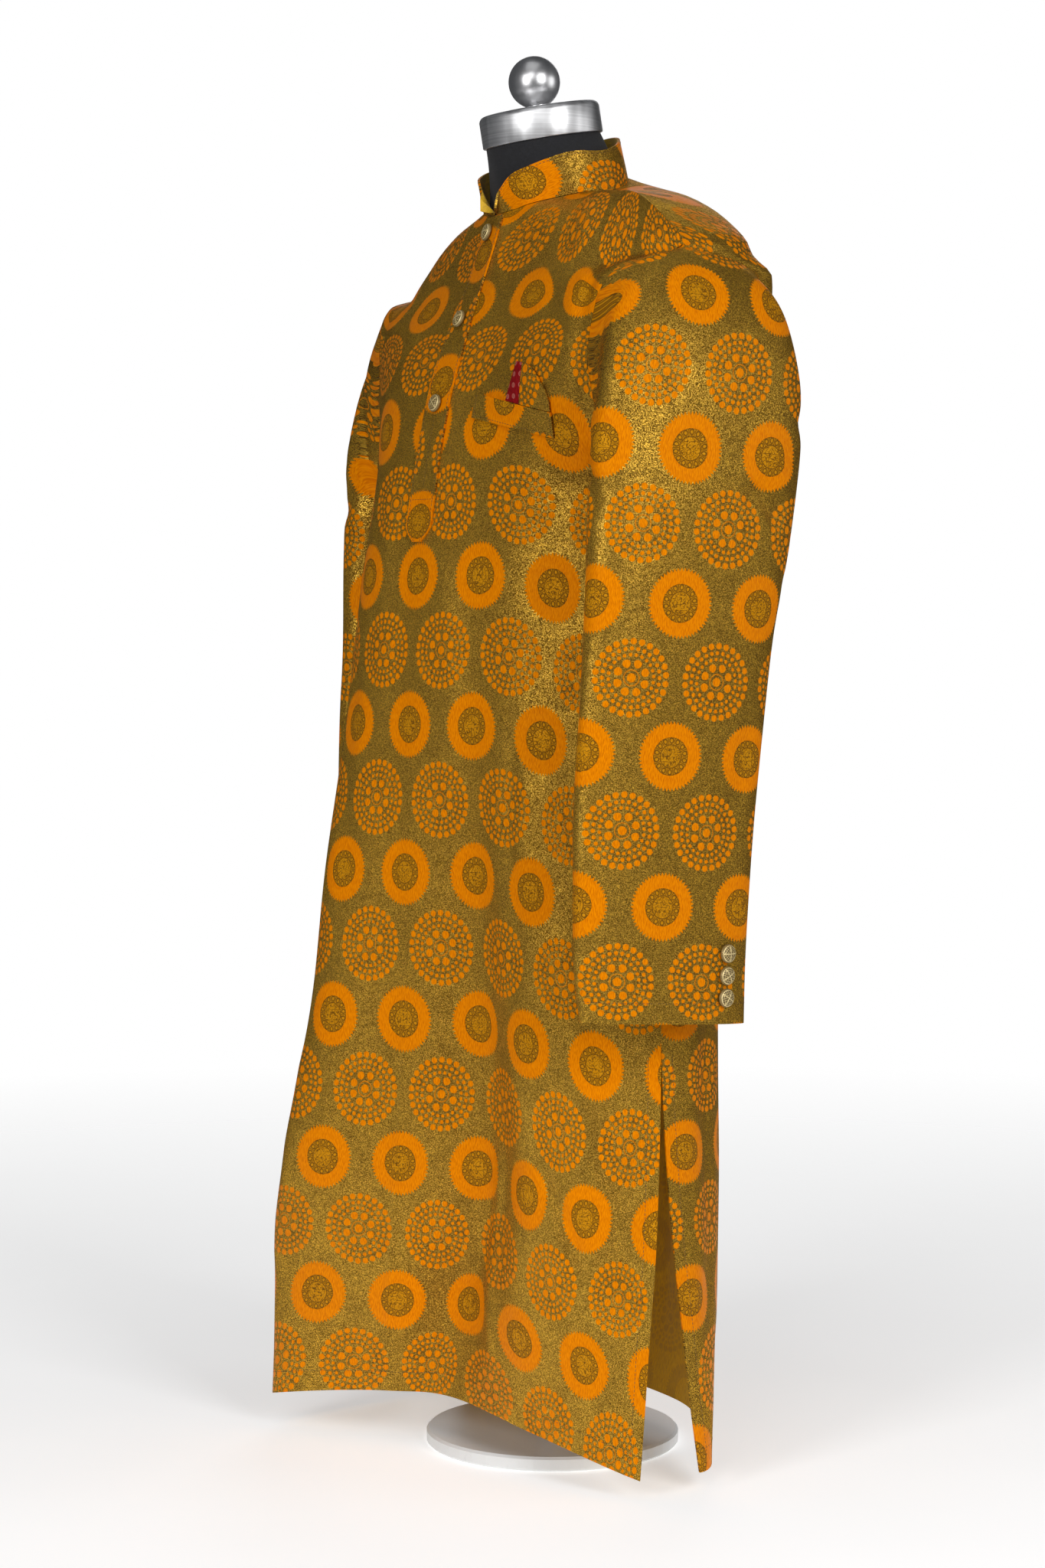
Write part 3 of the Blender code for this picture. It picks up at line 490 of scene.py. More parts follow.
def arc_lengths(grid, axis):
    """How far each point of a grid is along its row or column."""
    steps = np.linalg.norm(np.diff(grid, axis=axis), axis=-1)
    start = np.zeros_like(np.take(steps, [0], axis=axis))
    return np.concatenate([start, np.cumsum(steps, axis=axis)], axis=axis)


def points_at(places, lengths, line):
    """Points at places along a line whose points lie at lengths."""
    return np.stack([np.interp(places, lengths, line[:, axis]) for axis in range(3)], axis=-1)


def where_reached(values, target, *grids):
    """Each grid's points where values, which grow up each column, reach a target."""
    low = np.clip((values <= target).sum(axis=0) - 1, 0, len(values) - 2)
    cols = np.arange(values.shape[1])
    share = ((target - values[low, cols]) / (values[low + 1, cols] - values[low, cols]))[:, None]
    return [grid[low, cols] * (1 - share) + grid[low + 1, cols] * share for grid in grids]


def seam_normals(grid):
    """A panel's directions, turned into the seam's plane at its two side edges."""
    fixed = normals_of(grid)
    armpit = BODY_ROWS[ARMPIT_ROW][0] - FLOOR_Z
    for c in (0, -1):
        armhole = (np.abs(grid[:, c, 1]) > ARMHOLE_DEPTH) & (grid[:, c, 2] > armpit)
        fixed[armhole, c, 0] = 0.0
        fixed[~armhole, c, 1] = 0.0
    return unit(fixed)


def taper(t):
    """1 along most of a crease, falling smoothly to 0 beyond its ends."""
    return np.clip(np.minimum(t + 0.15, 1.15 - t) / 0.35, 0.0, 1.0) ** 2


def crease_heights(u, v, creases):
    """How far creases move each point of the cloth out, along its normal."""
    total = np.zeros_like(u)
    for u0, v0, u1, v1, width, height in creases:
        du, dv = u1 - u0, v1 - v0
        length = math.hypot(du, dv)
        t = ((u - u0) * du + (v - v0) * dv) / length ** 2
        aside = ((u - u0) * dv - (v - v0) * du) / length
        wander = 0.25 * width * np.sin(9.0 * t + 40.0 * u0)
        spreading = width * (0.75 + 0.5 * np.clip(t, 0.0, 1.0))
        total += height * taper(t) * np.exp(-((aside - wander) / spreading) ** 2)
    return total


def slow_waves(u, v, seed):
    """Gentle unevenness of hanging cloth."""
    first = np.sin(21.0 * u + 9.0 * v + seed) * np.sin(13.0 * v - 7.0 * u + 2.1 * seed)
    second = np.sin(47.0 * u - 19.0 * v + 3.7 * seed) * np.sin(31.0 * v + 1.3 * seed)
    return 0.0006 * first + 0.00025 * second


def seam_fade(count, period, reach):
    """0 at the first and last of count columns, rising to 1 some columns in, so creases leave seams alone."""
    across = np.arange(count)
    return np.clip(np.minimum(across, period - across) / reach, 0.0, 1.0)[None, :]


# Meshes

def link(obj):
    bpy.context.scene.collection.objects.link(obj)
    return obj


def mesh_object(name, points, faces, materials, face_slots=None, face_uvs=None, smooth_angle=40):
    """A mesh with its finishes, and its cloth coordinates if it has them."""
    mesh = bpy.data.meshes.new(name)
    mesh.from_pydata(points, [], faces)
    for material in materials:
        mesh.materials.append(material)
    if face_slots is not None:
        mesh.polygons.foreach_set("material_index", face_slots)
    if face_uvs is not None:
        layer = mesh.uv_layers.new(name="Cloth")
        layer.data.foreach_set("uv", np.asarray(face_uvs, dtype=np.float32).ravel())
    mesh.shade_smooth()
    mesh.set_sharp_from_angle(angle=math.radians(smooth_angle))
    mesh.update()
    return link(bpy.data.objects.new(name, mesh))


def quads_of(rows, cols, wrap):
    """Corner rows and columns of every face of a grid; a wrapped grid's last column is the first again."""
    r, c = np.meshgrid(np.arange(rows - 1), np.arange(cols if wrap else cols - 1), indexing="ij")
    r, c = r.ravel(), c.ravel()
    return np.stack([r, r, r + 1, r + 1], axis=1), np.stack([c, c + 1, c + 1, c], axis=1)


def ring_wall(rings, count, first=0):
    """Faces between rings of count points each, which start at point number first."""
    r, c = quads_of(rings, count, True)
    return r * count + c % count + first


def tube_faces(rings, count, first=0):
    """Faces of a closed body made of rings: the wall and two flat ends."""
    last = first + (rings - 1) * count
    ends = [list(range(first, first + count))[::-1], list(range(last, last + count))]
    return ring_wall(rings, count, first).tolist() + ends


def fan(centre, first, count):
    """Triangles from a centre point to a ring of points."""
    return [(centre, first + n, first + (n + 1) % count) for n in range(count)]


def edge_loops(rows, cols, wrap):
    """Closed loops of (row, column) round a grid's free edges."""
    if wrap:
        return [[(0, c) for c in range(cols + 1)], [(rows - 1, c) for c in range(cols, -1, -1)]]
    loop = [(0, c) for c in range(cols)] + [(r, cols - 1) for r in range(1, rows)]
    loop += [(rows - 1, c) for c in range(cols - 2, -1, -1)] + [(r, 0) for r in range(rows - 2, -1, -1)]
    return [loop]


def shell(name, outer, normals, uv, materials, thick, wrap):
    """A thin cloth wall: finish 0 on its outer face and edges, finish 1 on its inner face."""
    rows, cols = outer.shape[:2]
    points = np.concatenate([outer.reshape(-1, 3), (outer - normals * thick).reshape(-1, 3)])
    qr, qc = quads_of(rows, cols, wrap)
    front = qr * cols + qc % cols
    back = front[:, ::-1] + rows * cols
    rim_rc = np.array([[b, a, a, b] for loop in edge_loops(rows, cols, wrap) for a, b in zip(loop, loop[1:])])
    rim = rim_rc[..., 0] * cols + rim_rc[..., 1] % cols
    rim[:, 2:] += rows * cols
    faces = np.concatenate([front, back, rim])
    uvs = np.concatenate([uv[qr, qc], uv[qr, qc][:, ::-1], uv[rim_rc[..., 0], rim_rc[..., 1]]])
    slots = np.concatenate([np.zeros(len(front)), np.ones(len(back)), np.zeros(len(rim))]).astype(np.int32)
    return mesh_object(name, points.tolist(), faces.tolist(), materials, slots, uvs)


class Cloth:
    """A piece of cloth: its object, and the grid of points and outward directions of its face."""

    def __init__(self, name, grid, normals, uv, materials, thick=WALL, wrap=False, centre=0):
        self.grid, self.normals, self.wrap, self.centre = grid, normals, wrap, centre
        self.obj = shell(name, grid, normals, uv, materials, thick, wrap)

    def spot(self, distance, z):
        """The point and outward direction at a distance round from the centre line, at table height z."""
        points, directions = where_reached(self.grid[..., 2], z - FLOOR_Z, self.grid, self.normals)
        lengths = arc_lengths(points, 0)
        lengths -= lengths[self.centre]
        point, direction = (Vector(points_at(distance, lengths, line)) for line in (points, directions))
        return point, direction.normalized()

    def level_line(self, up, from_top=False):
        """A line that stays a distance up the cloth from its first row, or down from its last."""
        step = -1 if from_top else 1
        grid, normals = self.grid[::step], self.normals[::step]
        lines = where_reached(arc_lengths(grid, 0), up, grid, normals)
        return [np.concatenate([line, line[:1]]) for line in lines] if self.wrap else lines

    def side_line(self, inward, from_right=False, first=0, last=None):
        """A line up the cloth that stays a distance in from one side edge."""
        step = -1 if from_right else 1
        rows = zip(self.grid[first:last, ::step], self.normals[first:last, ::step])
        found = [[points_at(inward, arc_lengths(row[0], 0), line) for line in row] for row in rows]
        return np.array(found).transpose(1, 0, 2)

    def side_lines(self, inward, **rows):
        return [self.side_line(inward, from_right, **rows) for from_right in (False, True)]


# Places in the weave

def weave_of_front(u, v):
    """The front panel's place in the weave, with the roundels' columns and rows where they hang."""
    sink = np.interp(u, GRAIN_PLACES, GRAIN_SINKS) * (0.5 + 0.5 * np.clip(v / GRAIN_HEM, 0.0, 1.0))
    height = mapped(v + sink, FRONT_HEIGHTS, FRONT_WEAVE_HEIGHTS) - DISC_LEVEL
    numbers = np.arange(len(FRONT_COLUMN_PLACES[0])) + FIRST_COLUMN
    by_row = np.array([mapped(u, places, numbers) for places in FRONT_COLUMN_PLACES])
    at = np.clip(height / REPEAT_V, 0.0, len(by_row) - 1.0)
    low = np.clip(at.astype(int), 0, len(by_row) - 2)
    share = at - low
    r, c = np.indices(u.shape)
    column = by_row[low, r, c] * (1 - share) + by_row[low + 1, r, c] * share
    return np.stack([column * REPEAT_U, height], axis=-1)


def weave_of_back(u, v):
    return np.stack([u + BACK_SHIFT, mapped(v, BACK_HEIGHTS, BACK_WEAVE_HEIGHTS)], axis=-1)


def weave_of_sleeve(u, v):
    drift = np.interp(v, SLEEVE_HEIGHTS, SLEEVE_DRIFT)
    return np.stack([u + drift, mapped(v, SLEEVE_HEIGHTS, SLEEVE_WEAVE_HEIGHTS)], axis=-1)


def weave_of_collar(u, v):
    """The collar is cut with the grain along it."""
    x, y = (u - COLLAR_DISC[0]) * COLLAR_STRETCH, v - COLLAR_DISC[1]
    cos, sin = math.cos(COLLAR_TURN), math.sin(COLLAR_TURN)
    return np.stack([x * cos - y * sin, x * sin + y * cos], axis=-1)


def weave_of_placket(u, z):
    return np.stack([u, mapped(z, PLACKET_HEIGHTS, PLACKET_WEAVE_HEIGHTS)], axis=-1)


def weave_moved(by):
    """A weave that only lies aside and down from the cloth's own coordinates."""
    return lambda u, z: np.stack([u + by[0], z + by[1]], axis=-1)


# Body panels and sleeves

def body_panel(name, grid, centre, creases, seed, weave, finishes):
    """A finished body panel, measured round from its centre column and up that column."""
    u = arc_lengths(grid, 1)
    u -= u[:, [centre]]
    v = arc_lengths(grid, 0)[:, [centre]] * np.ones_like(u)
    heights = crease_heights(u, v, creases) + slow_waves(u, v, seed)
    heights = heights * seam_fade(PANEL_SPACES + 1, PANEL_SPACES, EDGE_FADE_COLUMNS)
    grid = grid + seam_normals(grid) * heights[..., None]
    return Cloth(name, grid, seam_normals(grid), weave(u, v), finishes, centre=centre)


def armhole_loop():
    """The armhole's edge as seen from the wearer's left: armpit, front, shoulder point, back."""
    rows = spread(ARMPIT_ROW, SHOULDER_ROW, SLEEVE_HALF_RING + 1)
    front = [front_point(body_row(at), 5.0) for at in rows]
    back = [back_point(body_row(at), at, 1.0) for at in rows]
    return np.array(front + back[-2:0:-1]) + np.array((ARMHOLE_LIFT, 0.0, 0.0))


def sleeve_ring(row):
    """One ring of the sleeve, in the same order as the armhole's loop."""
    middle = Vector(((row["inner_x"] + row["outer_x"]) / 2, (row["front"] + row["back"]) / 2,
                     (row["inner_z"] + row["outer_z"]) / 2))
    outward = Vector((row["outer_x"], middle.y, row["outer_z"])) - middle
    depth = (row["back"] - row["front"]) / 2
    points = []
    for n in range(2 * SLEEVE_HALF_RING):
        angle = math.pi * n / SLEEVE_HALF_RING
        out = -signed_power(math.cos(angle), row["square"])
        fore = -signed_power(math.sin(angle), row["square"])
        points.append(middle + outward * out + Vector((0.0, depth * fore, -row["tilt"] * depth * fore)))
    return np.array([(p.x, p.y, p.z - FLOOR_Z) for p in points])


def left_sleeve_grid():
    """Rings of the left sleeve from the hem up to the armhole, and each ring's row number."""
    rows = spread(0.0, len(SLEEVE_ROWS) - 1.0, (len(SLEEVE_ROWS) - 1) * RINGS_A_ROW + 1)
    rings = [sleeve_ring(level(SLEEVE_COLUMNS, SLEEVE_ROWS, at)) for at in rows]
    start = armhole_loop()
    head = [start + (rings[0] - start) * n / HEAD_RINGS for n in range(HEAD_RINGS)]
    numbers = [-HEAD_ROWS * (1 - n / HEAD_RINGS) for n in range(HEAD_RINGS)] + rows
    return np.array((head + rings)[::-1]), np.array(numbers[::-1])


def sleeve(name, grid, creases, seed, brocade):
    """A sleeve's wall, with creases that die out at the armhole and the seam."""
    closed = np.concatenate([grid, grid[:, :1]], axis=1)
    u = arc_lengths(closed * np.array((1.0, 1.0, 0.0)), 1)
    u -= u[:, [SLEEVE_HALF_RING]]
    v = arc_lengths(closed, 0)
    from_head = np.clip(np.arange(len(grid))[::-1, None] / HEAD_FADE_RINGS, 0.0, 1.0)
    heights = (crease_heights(u, v, creases) + slow_waves(u, v, seed))[:, :-1] * from_head
    heights = heights * seam_fade(grid.shape[1], grid.shape[1], SEAM_FADE_COLUMNS)
    grid = grid + normals_of(grid, True) * heights[..., None]
    normals = normals_of(grid, True)
    normals[-1, :, 0] = 0.0
    return Cloth(name, grid, unit(normals), weave_of_sleeve(u, v), brocade, wrap=True)


def sleeves(brocade):
    left, numbers = left_sleeve_grid()
    slide = RIGHT_SLEEVE_BACK * np.clip((1 + 1.5 * numbers) / 3, 0.0, 1.0)
    right = np.roll(left[:, ::-1] * np.array((-1.0, 1.0, 1.0)), 1, axis=1)
    right[..., 1] += slide[:, None]
    return (sleeve("kurta_sleeve_left", left, LEFT_SLEEVE_CREASES, 3.1, brocade),
            sleeve("kurta_sleeve_right", right, RIGHT_SLEEVE_CREASES, 5.3, brocade))


# Collar

def neck_point(angle):
    """The neck seam by angle from the centre front, towards the wearer's left."""
    row = dict(zip(BODY_COLUMNS, BODY_ROWS[NECK_ROW]))
    depth, middle_z = (NECK_FRONT, row["front_z"]) if math.cos(angle) > 0 else (NECK_BACK, row["back_z"])
    z = row["edge_z"] + (middle_z - row["edge_z"]) * math.cos(angle) ** 2
    return Vector((NECK_HALF * math.sin(angle), -depth * math.cos(angle), z))


def collar_point(share, across, panel_edge):
    """A point of the collar's face; share runs 0 to 1 up it, and across 0 to 1 round the neck."""
    first = (COLLAR_BASE_GAP + (COLLAR_TOP_GAP - COLLAR_BASE_GAP) * share) / NECK_HALF
    angle = first + (2 * math.pi - 2 * first) * across
    base = neck_point(angle)
    if math.cos(angle) > 0:
        edge = float(np.interp(base.x, panel_edge[:, 0], panel_edge[:, 1]))
        base.y += (edge - base.y) * (1 - share) ** 2
    from_end = min(angle - first, 2 * math.pi - first - angle) * NECK_HALF
    cut = max(0.0, COLLAR_CORNER_R - from_end)
    front = max(0.0, math.cos(angle)) ** 2
    height = COLLAR_HEIGHT - COLLAR_FRONT_DROP * front - COLLAR_CORNER_R
    height += math.sqrt(max(0.0, COLLAR_CORNER_R ** 2 - cut ** 2))
    lean = 1.0 + (COLLAR_FRONT_LEAN * front - COLLAR_BACK_LEAN * (1 - front)) * share
    lift = SEAM_GAP + height * share - FLOOR_Z
    return (base.x * lean, base.y * lean - COLLAR_FORWARD * share, base.z + lift)


def collar(brocade, panel_edge):
    """A standing band with an open front and rounded front corners; its foot follows the panel's edge."""
    across = [c / (COLLAR_COLUMNS - 1) for c in range(COLLAR_COLUMNS)]
    up = [r / (COLLAR_ROWS - 1) for r in range(COLLAR_ROWS)]
    grid = np.array([[collar_point(share, place, panel_edge) for place in across] for share in up])
    u, v = arc_lengths(grid, 1), arc_lengths(grid, 0)
    normals = normals_of(grid)
    waves = COLLAR_WAVE * np.sin(COLLAR_WAVES * u) * np.sin(math.pi * v / COLLAR_HEIGHT)
    grid = grid + normals * waves[..., None]
    return Cloth("kurta_collar", grid, normals, weave_of_collar(u, v), brocade, COLLAR_THICK)


# What lies on the front panel

def patch(name, panel, rows, weave, materials, gap, thick, puff=0.0):
    """A thin piece that lies on a panel; rows give (distance, height) pairs, lowest row first."""
    found = np.array([[[tuple(part) for part in panel.spot(*place)] for place in row] for row in rows])
    grid, normals = found[..., 0, :], found[..., 1, :]
    swell = np.outer(*(np.sin(np.linspace(0, math.pi, count)) for count in grid.shape[:2]))
    grid = grid + normals * (gap + thick + puff * swell)[..., None]
    places = np.array(rows)
    return Cloth(name, grid, normals, weave(places[..., 0], places[..., 1]), materials, thick)


def placket(panel, brocade):
    """The buttoned front band, with a cut-off point at its foot."""
    top = float(panel.grid[-1, CENTRE_COLUMN, 2]) + FLOOR_Z - PLACKET_TOP_DROP
    count, across = PLACKET_POINTS
    rows = [*PLACKET_FOOT, *((z, 1.0) for z in spread(PLACKET_FOOT[-1][0] + PLACKET_FIRST_ROW, top, count))]
    halves = [(z, PLACKET_HALF * share) for z, share in rows]
    points = [[(d, z) for d in spread(-half, half, across)] for z, half in halves]
    return patch("kurta_placket", panel, points, weave_of_placket, brocade, PLACKET_GAP, PLACKET_THICK)


def welt_top(distance):
    share = (distance - POCKET_NEAR[0]) / (POCKET_FAR[0] - POCKET_NEAR[0])
    return between(POCKET_NEAR, POCKET_FAR, share)[1]


def spaced(table, share):
    """The value at a share of the way along a list of values."""
    return float(np.interp(share, np.linspace(0.0, 1.0, len(table)), table))


def square(name, panel, foot_distances, top, materials):
    """A part of the folded square, from the welt's top edge up to a row of points."""
    across = spread(0.0, 1.0, SQUARE_POINTS[1])
    foot = [spaced(foot_distances, s) for s in across]
    foot = [(d, welt_top(d) + 2 * SEAM_GAP) for d in foot]
    crown = [tuple(spaced([point[axis] for point in top], s) for axis in (0, 1)) for s in across]
    shares = spread(0.0, 1.0, SQUARE_POINTS[0])
    rows = [[between(a, b, share) for a, b in zip(foot, crown)] for share in shares]
    weave = weave_moved(SQUARE_WEAVE)
    return patch(name, panel, rows, weave, materials, SQUARE_GAP, SQUARE_THICK, SQUARE_PUFF)


def pocket_welt(panel, brocade):
    distances = spread(POCKET_NEAR[0], POCKET_FAR[0], WELT_POINTS[1])
    drops = [WELT_DEPTH * (1 - share) for share in spread(0.0, 1.0, WELT_POINTS[0])]
    rows = [[(d, welt_top(d) - drop) for d in distances] for drop in drops]
    return patch("kurta_pocket_welt", panel, rows, weave_moved(WELT_WEAVE), brocade, PATCH_GAP, WELT_THICK)


# Stitching

def resample(line, normals):
    """Points spaced evenly along a line, with their directions."""
    lengths = arc_lengths(line, 0)
    places = np.arange(STITCH_STEP / 2, lengths[-1], STITCH_STEP)
    return points_at(places, lengths, line), unit(points_at(places, lengths, normals))


def stitch_points(place, run, normal):
    """Rings of points of one stitch, its ends sunk into the cloth."""
    side = np.cross(normal, run)
    points = []
    for offset, width in STITCH_RINGS:
        lift = STITCH_PROUD if width == 1.0 else STITCH_SUNK
        centre = place + run * offset * STITCH_LENGTH + normal * STITCH_R * lift
        for n in range(STITCH_SIDES):
            angle = 2 * math.pi * n / STITCH_SIDES
            spoke = side * math.cos(angle) + normal * math.sin(angle)
            points.append(tuple(centre + spoke * STITCH_R * width))
    return points


def stitches(name, lines, material):
    """Short rounded threads along lines that lie on cloth."""
    points, faces = [], []
    for line, normals in lines:
        places, facing = resample(line, normals)
        if len(places) < 3:
            continue
        for place, run, normal in zip(places, unit(np.gradient(places, axis=0)), facing):
            faces += tube_faces(len(STITCH_RINGS), STITCH_SIDES, len(points))
            points += stitch_points(place, run, normal)
    return mesh_object(name, points, faces, [material])


def panel_stitching(name, panel, thread):
    """Hem and slit stitching of one body panel."""
    slit_top = int(np.argmax(np.array(fine_levels()) >= SLIT_ROW))
    lines = [panel.level_line(HEM_DEPTH), *panel.side_lines(SLIT_HEM, first=2, last=slit_top)]
    return stitches(name, lines, thread)


def placket_stitching(strip, thread):
    """Both edges, a line up the middle below the lowest button, and the seam across the foot."""
    heights = strip.grid[:, 0, 2] + FLOOR_Z
    middle = strip.grid.shape[1] // 2
    line_foot, line_top = PLACKET_SEAM_Z + PLACKET_LINE_ABOVE, FRONT_BUTTON_Z[-1] - PLACKET_LINE_BELOW
    rows = np.flatnonzero((heights > line_foot) & (heights < line_top))
    cross = int(np.argmin(np.abs(heights - PLACKET_SEAM_Z)))
    lines = strip.side_lines(EDGE_STITCH)
    lines.append((strip.grid[rows, middle], strip.normals[rows, middle]))
    lines += [(strip.grid[r], strip.normals[r]) for r in (cross - 1, cross + 1)]
    return stitches("placket_stitching", lines, thread)


def sew(front, back, left, right, band, strip, welt, thread):
    """All the stitching, by the piece that it is on."""
    band_edges = [*band.side_lines(EDGE_STITCH), band.level_line(EDGE_STITCH, True)]
    welt_edges = [*welt.side_lines(EDGE_STITCH), welt.level_line(EDGE_STITCH)]
    return {
        "front": panel_stitching("front_stitching", front, thread),
        "back": panel_stitching("back_stitching", back, thread),
        "left": stitches("cuff_stitching_left", [left.level_line(CUFF_HEM)], thread),
        "right": stitches("cuff_stitching_right", [right.level_line(CUFF_HEM)], thread),
        "collar": stitches("collar_stitching", band_edges, thread),
        "placket": placket_stitching(strip, thread),
        "welt": stitches("welt_stitching", welt_edges, thread),
    }


# Turned pieces and buttons

def frame_of(axis):
    return axis.normalized().to_track_quat("Z", "Y").to_matrix()


def turned(name, profile, centre, axis, material, count, smooth_angle):
    """A solid turned from (radius, height) pairs that start and end on its axis."""
    turn = frame_of(axis)
    points = [centre + turn @ Vector((0, 0, profile[0][1]))]
    for radius, height in profile[1:-1]:
        for n in range(count):
            angle = 2 * math.pi * n / count
            rim = Vector((radius * math.cos(angle), radius * math.sin(angle), height))
            points.append(centre + turn @ rim)
    points.append(centre + turn @ Vector((0, 0, profile[-1][1])))
    rings = len(profile) - 2
    faces = [face[::-1] for face in fan(0, 1, count)] + ring_wall(rings, count, 1).tolist()
    faces += fan(len(points) - 1, 1 + (rings - 1) * count, count)
    return mesh_object(name, [tuple(p) for p in points], faces, [material], smooth_angle=smooth_angle)


def filigree(x, y):
    """How far the button's pattern stands up, 0 to 1: a cross, a lattice in each quarter and a beaded rim."""
    radius = math.hypot(x, y)
    cross = bump_at(min(abs(x), abs(y)), 0.0, 0.055) if radius < 0.88 else 0.0
    slants = ((abs(x) + abs(y)) * 3.1, (abs(x) - abs(y)) * 3.1)
    lattice = max(bump_at(abs(t - math.floor(t) - 0.5), 0.0, 0.13) for t in slants)
    lattice *= 0.8 if radius < 0.84 else 0.0
    beads = 0.5 + 0.5 * math.cos(40 * math.atan2(y, x))
    rim = bump_at(radius, 0.96, 0.035) * beads
    return min(1.0, max(cross, lattice, bump_at(radius, 0.86, 0.04), 0.8 * rim))


def button(name, seat, normal, material, spin):
    """A dome with filigree in relief; how high each point stands is kept for its finish."""
    turn = frame_of(normal) @ Matrix.Rotation(spin, 3, "Z")
    points, raised = [seat + turn @ Vector((0, 0, BUTTON_DEPTH))], [1.0]
    for r in range(1, BUTTON_RINGS + 1):
        radius, height = (spaced([row[k] for row in BUTTON_PROFILE], r / BUTTON_RINGS) for k in (0, 1))
        for n in range(BUTTON_AROUND):
            angle = 2 * math.pi * n / BUTTON_AROUND
            x, y = radius * math.cos(angle), radius * math.sin(angle)
            lift = filigree(x, y) if height > RELIEF_FOOT else 0.3
            sunk = RELIEF * (1 - lift) if height > RELIEF_FOOT else 0.0
            points.append(seat + turn @ Vector((BUTTON_R * x, BUTTON_R * y, BUTTON_DEPTH * height - sunk)))
            raised.append(lift)
    wall = np.roll(ring_wall(BUTTON_RINGS, BUTTON_AROUND, 1)[:, ::-1], 1, axis=1)
    foot = range(len(points) - BUTTON_AROUND, len(points))
    faces = [*fan(0, 1, BUTTON_AROUND), *wall.tolist(), list(foot)[::-1]]
    obj = mesh_object(name, [tuple(p) for p in points], faces, [material])
    obj.data.attributes.new("raised", "FLOAT", "POINT").data.foreach_set("value", raised)
    return obj


def front_buttons(panel, material):
    found = []
    for n, z in enumerate(FRONT_BUTTON_Z):
        point, normal = panel.spot(0.0, z)
        seat = point + normal * (PLACKET_GAP + PLACKET_THICK + BUTTON_GAP)
        found.append(button(f"button_front_{n + 1}", seat, normal, material, 0.1 + 0.35 * n))
    return found


def sleeve_spot(grid, z, sign):
    """A cuff button's point and outward direction on the sleeve's outer face, at table height z."""
    below = max(r for r in range(len(grid) - 1) if grid[r, 0, 2] < z - FLOOR_Z)
    share = (z - FLOOR_Z - grid[below, 0, 2]) / (grid[below + 1, 0, 2] - grid[below, 0, 2])
    ring = grid[below] * (1 - share) + grid[below + 1] * share
    outer = ring[sign * ring[:, 0] > SLEEVE_MIDDLE_X]
    outer = outer[np.argsort(outer[:, 1])]
    y = ring[:, 1].max() - CUFF_BUTTON_FROM_BACK
    point, ahead = (Vector(points_at(at, outer[:, 1], outer)) for at in (y, y + FACING_STEP))
    normal = (ahead - point).cross(Vector((0, 0, 1))).normalized()
    return point, normal if normal.x * sign > 0 else -normal


def cuff_buttons(side, grid, material):
    found = []
    for n, z in enumerate(CUFF_BUTTON_Z):
        point, normal = sleeve_spot(grid, z, 1 if side == "left" else -1)
        seat = point + normal * BUTTON_GAP
        found.append(button(f"button_cuff_{side}_{n + 1}", seat, normal, material, 0.5 * n))
    return found


# Dress form

def inset_grid(grid, insets):
    """A panel's grid moved inward, thinned to the form's columns, without the side edges."""
    moved = grid - normals_of(grid) * insets[:, None, None]
    step = PANEL_SPACES // FORM_COLUMNS
    return moved[:, step:-step:step]


def oval_ring(z, half, front, back):
    shares = [n / FORM_COLUMNS + side for side in (-0.5, 0.5) for n in range(1, FORM_COLUMNS)]
    angles = math.pi * np.array(shares)
    depth = np.where(np.cos(angles) > 0, -front, back)
    return np.stack([half * np.sin(angles), -depth * np.cos(angles), np.full_like(angles, z)], axis=1)


def form_body(jersey):
    """The covered torso and neck of the form in one body."""
    low = [oval_ring(*(along(FORM_ROWS, k, at) for k in range(4)))
           for at in spread(0.0, len(FORM_ROWS) - 1.0, FORM_LOW_RINGS)]
    levels = spread(ARMPIT_ROW, NECK_ROW, FORM_RINGS)
    insets = np.array([along(FORM_INSETS, 0, at - ARMPIT_ROW) for at in levels])
    front, back = inset_grid(front_grid(levels), insets), inset_grid(back_grid(levels), insets)
    down = np.array((0.0, 0.0, FLOOR_Z))
    body = [np.concatenate([a, b]) + down for a, b in zip(front, back)]
    tilt = np.array(Matrix.Rotation(NECK_LEAN, 3, "X"))
    top = oval_ring(0.0, NECK_TOP_R, -NECK_TOP_R, NECK_TOP_R) @ tilt.T + np.array(NECK_TOP)
    shares = spread(FORM_NECK_START, 1.0, FORM_NECK_RINGS)
    neck = [body[-1] + (top - body[-1]) * share for share in shares]
    rings = np.array(low + body + neck) - down
    return mesh_object("form_body", rings.reshape(-1, 3).tolist(), tube_faces(*rings.shape[:2]), [jersey])


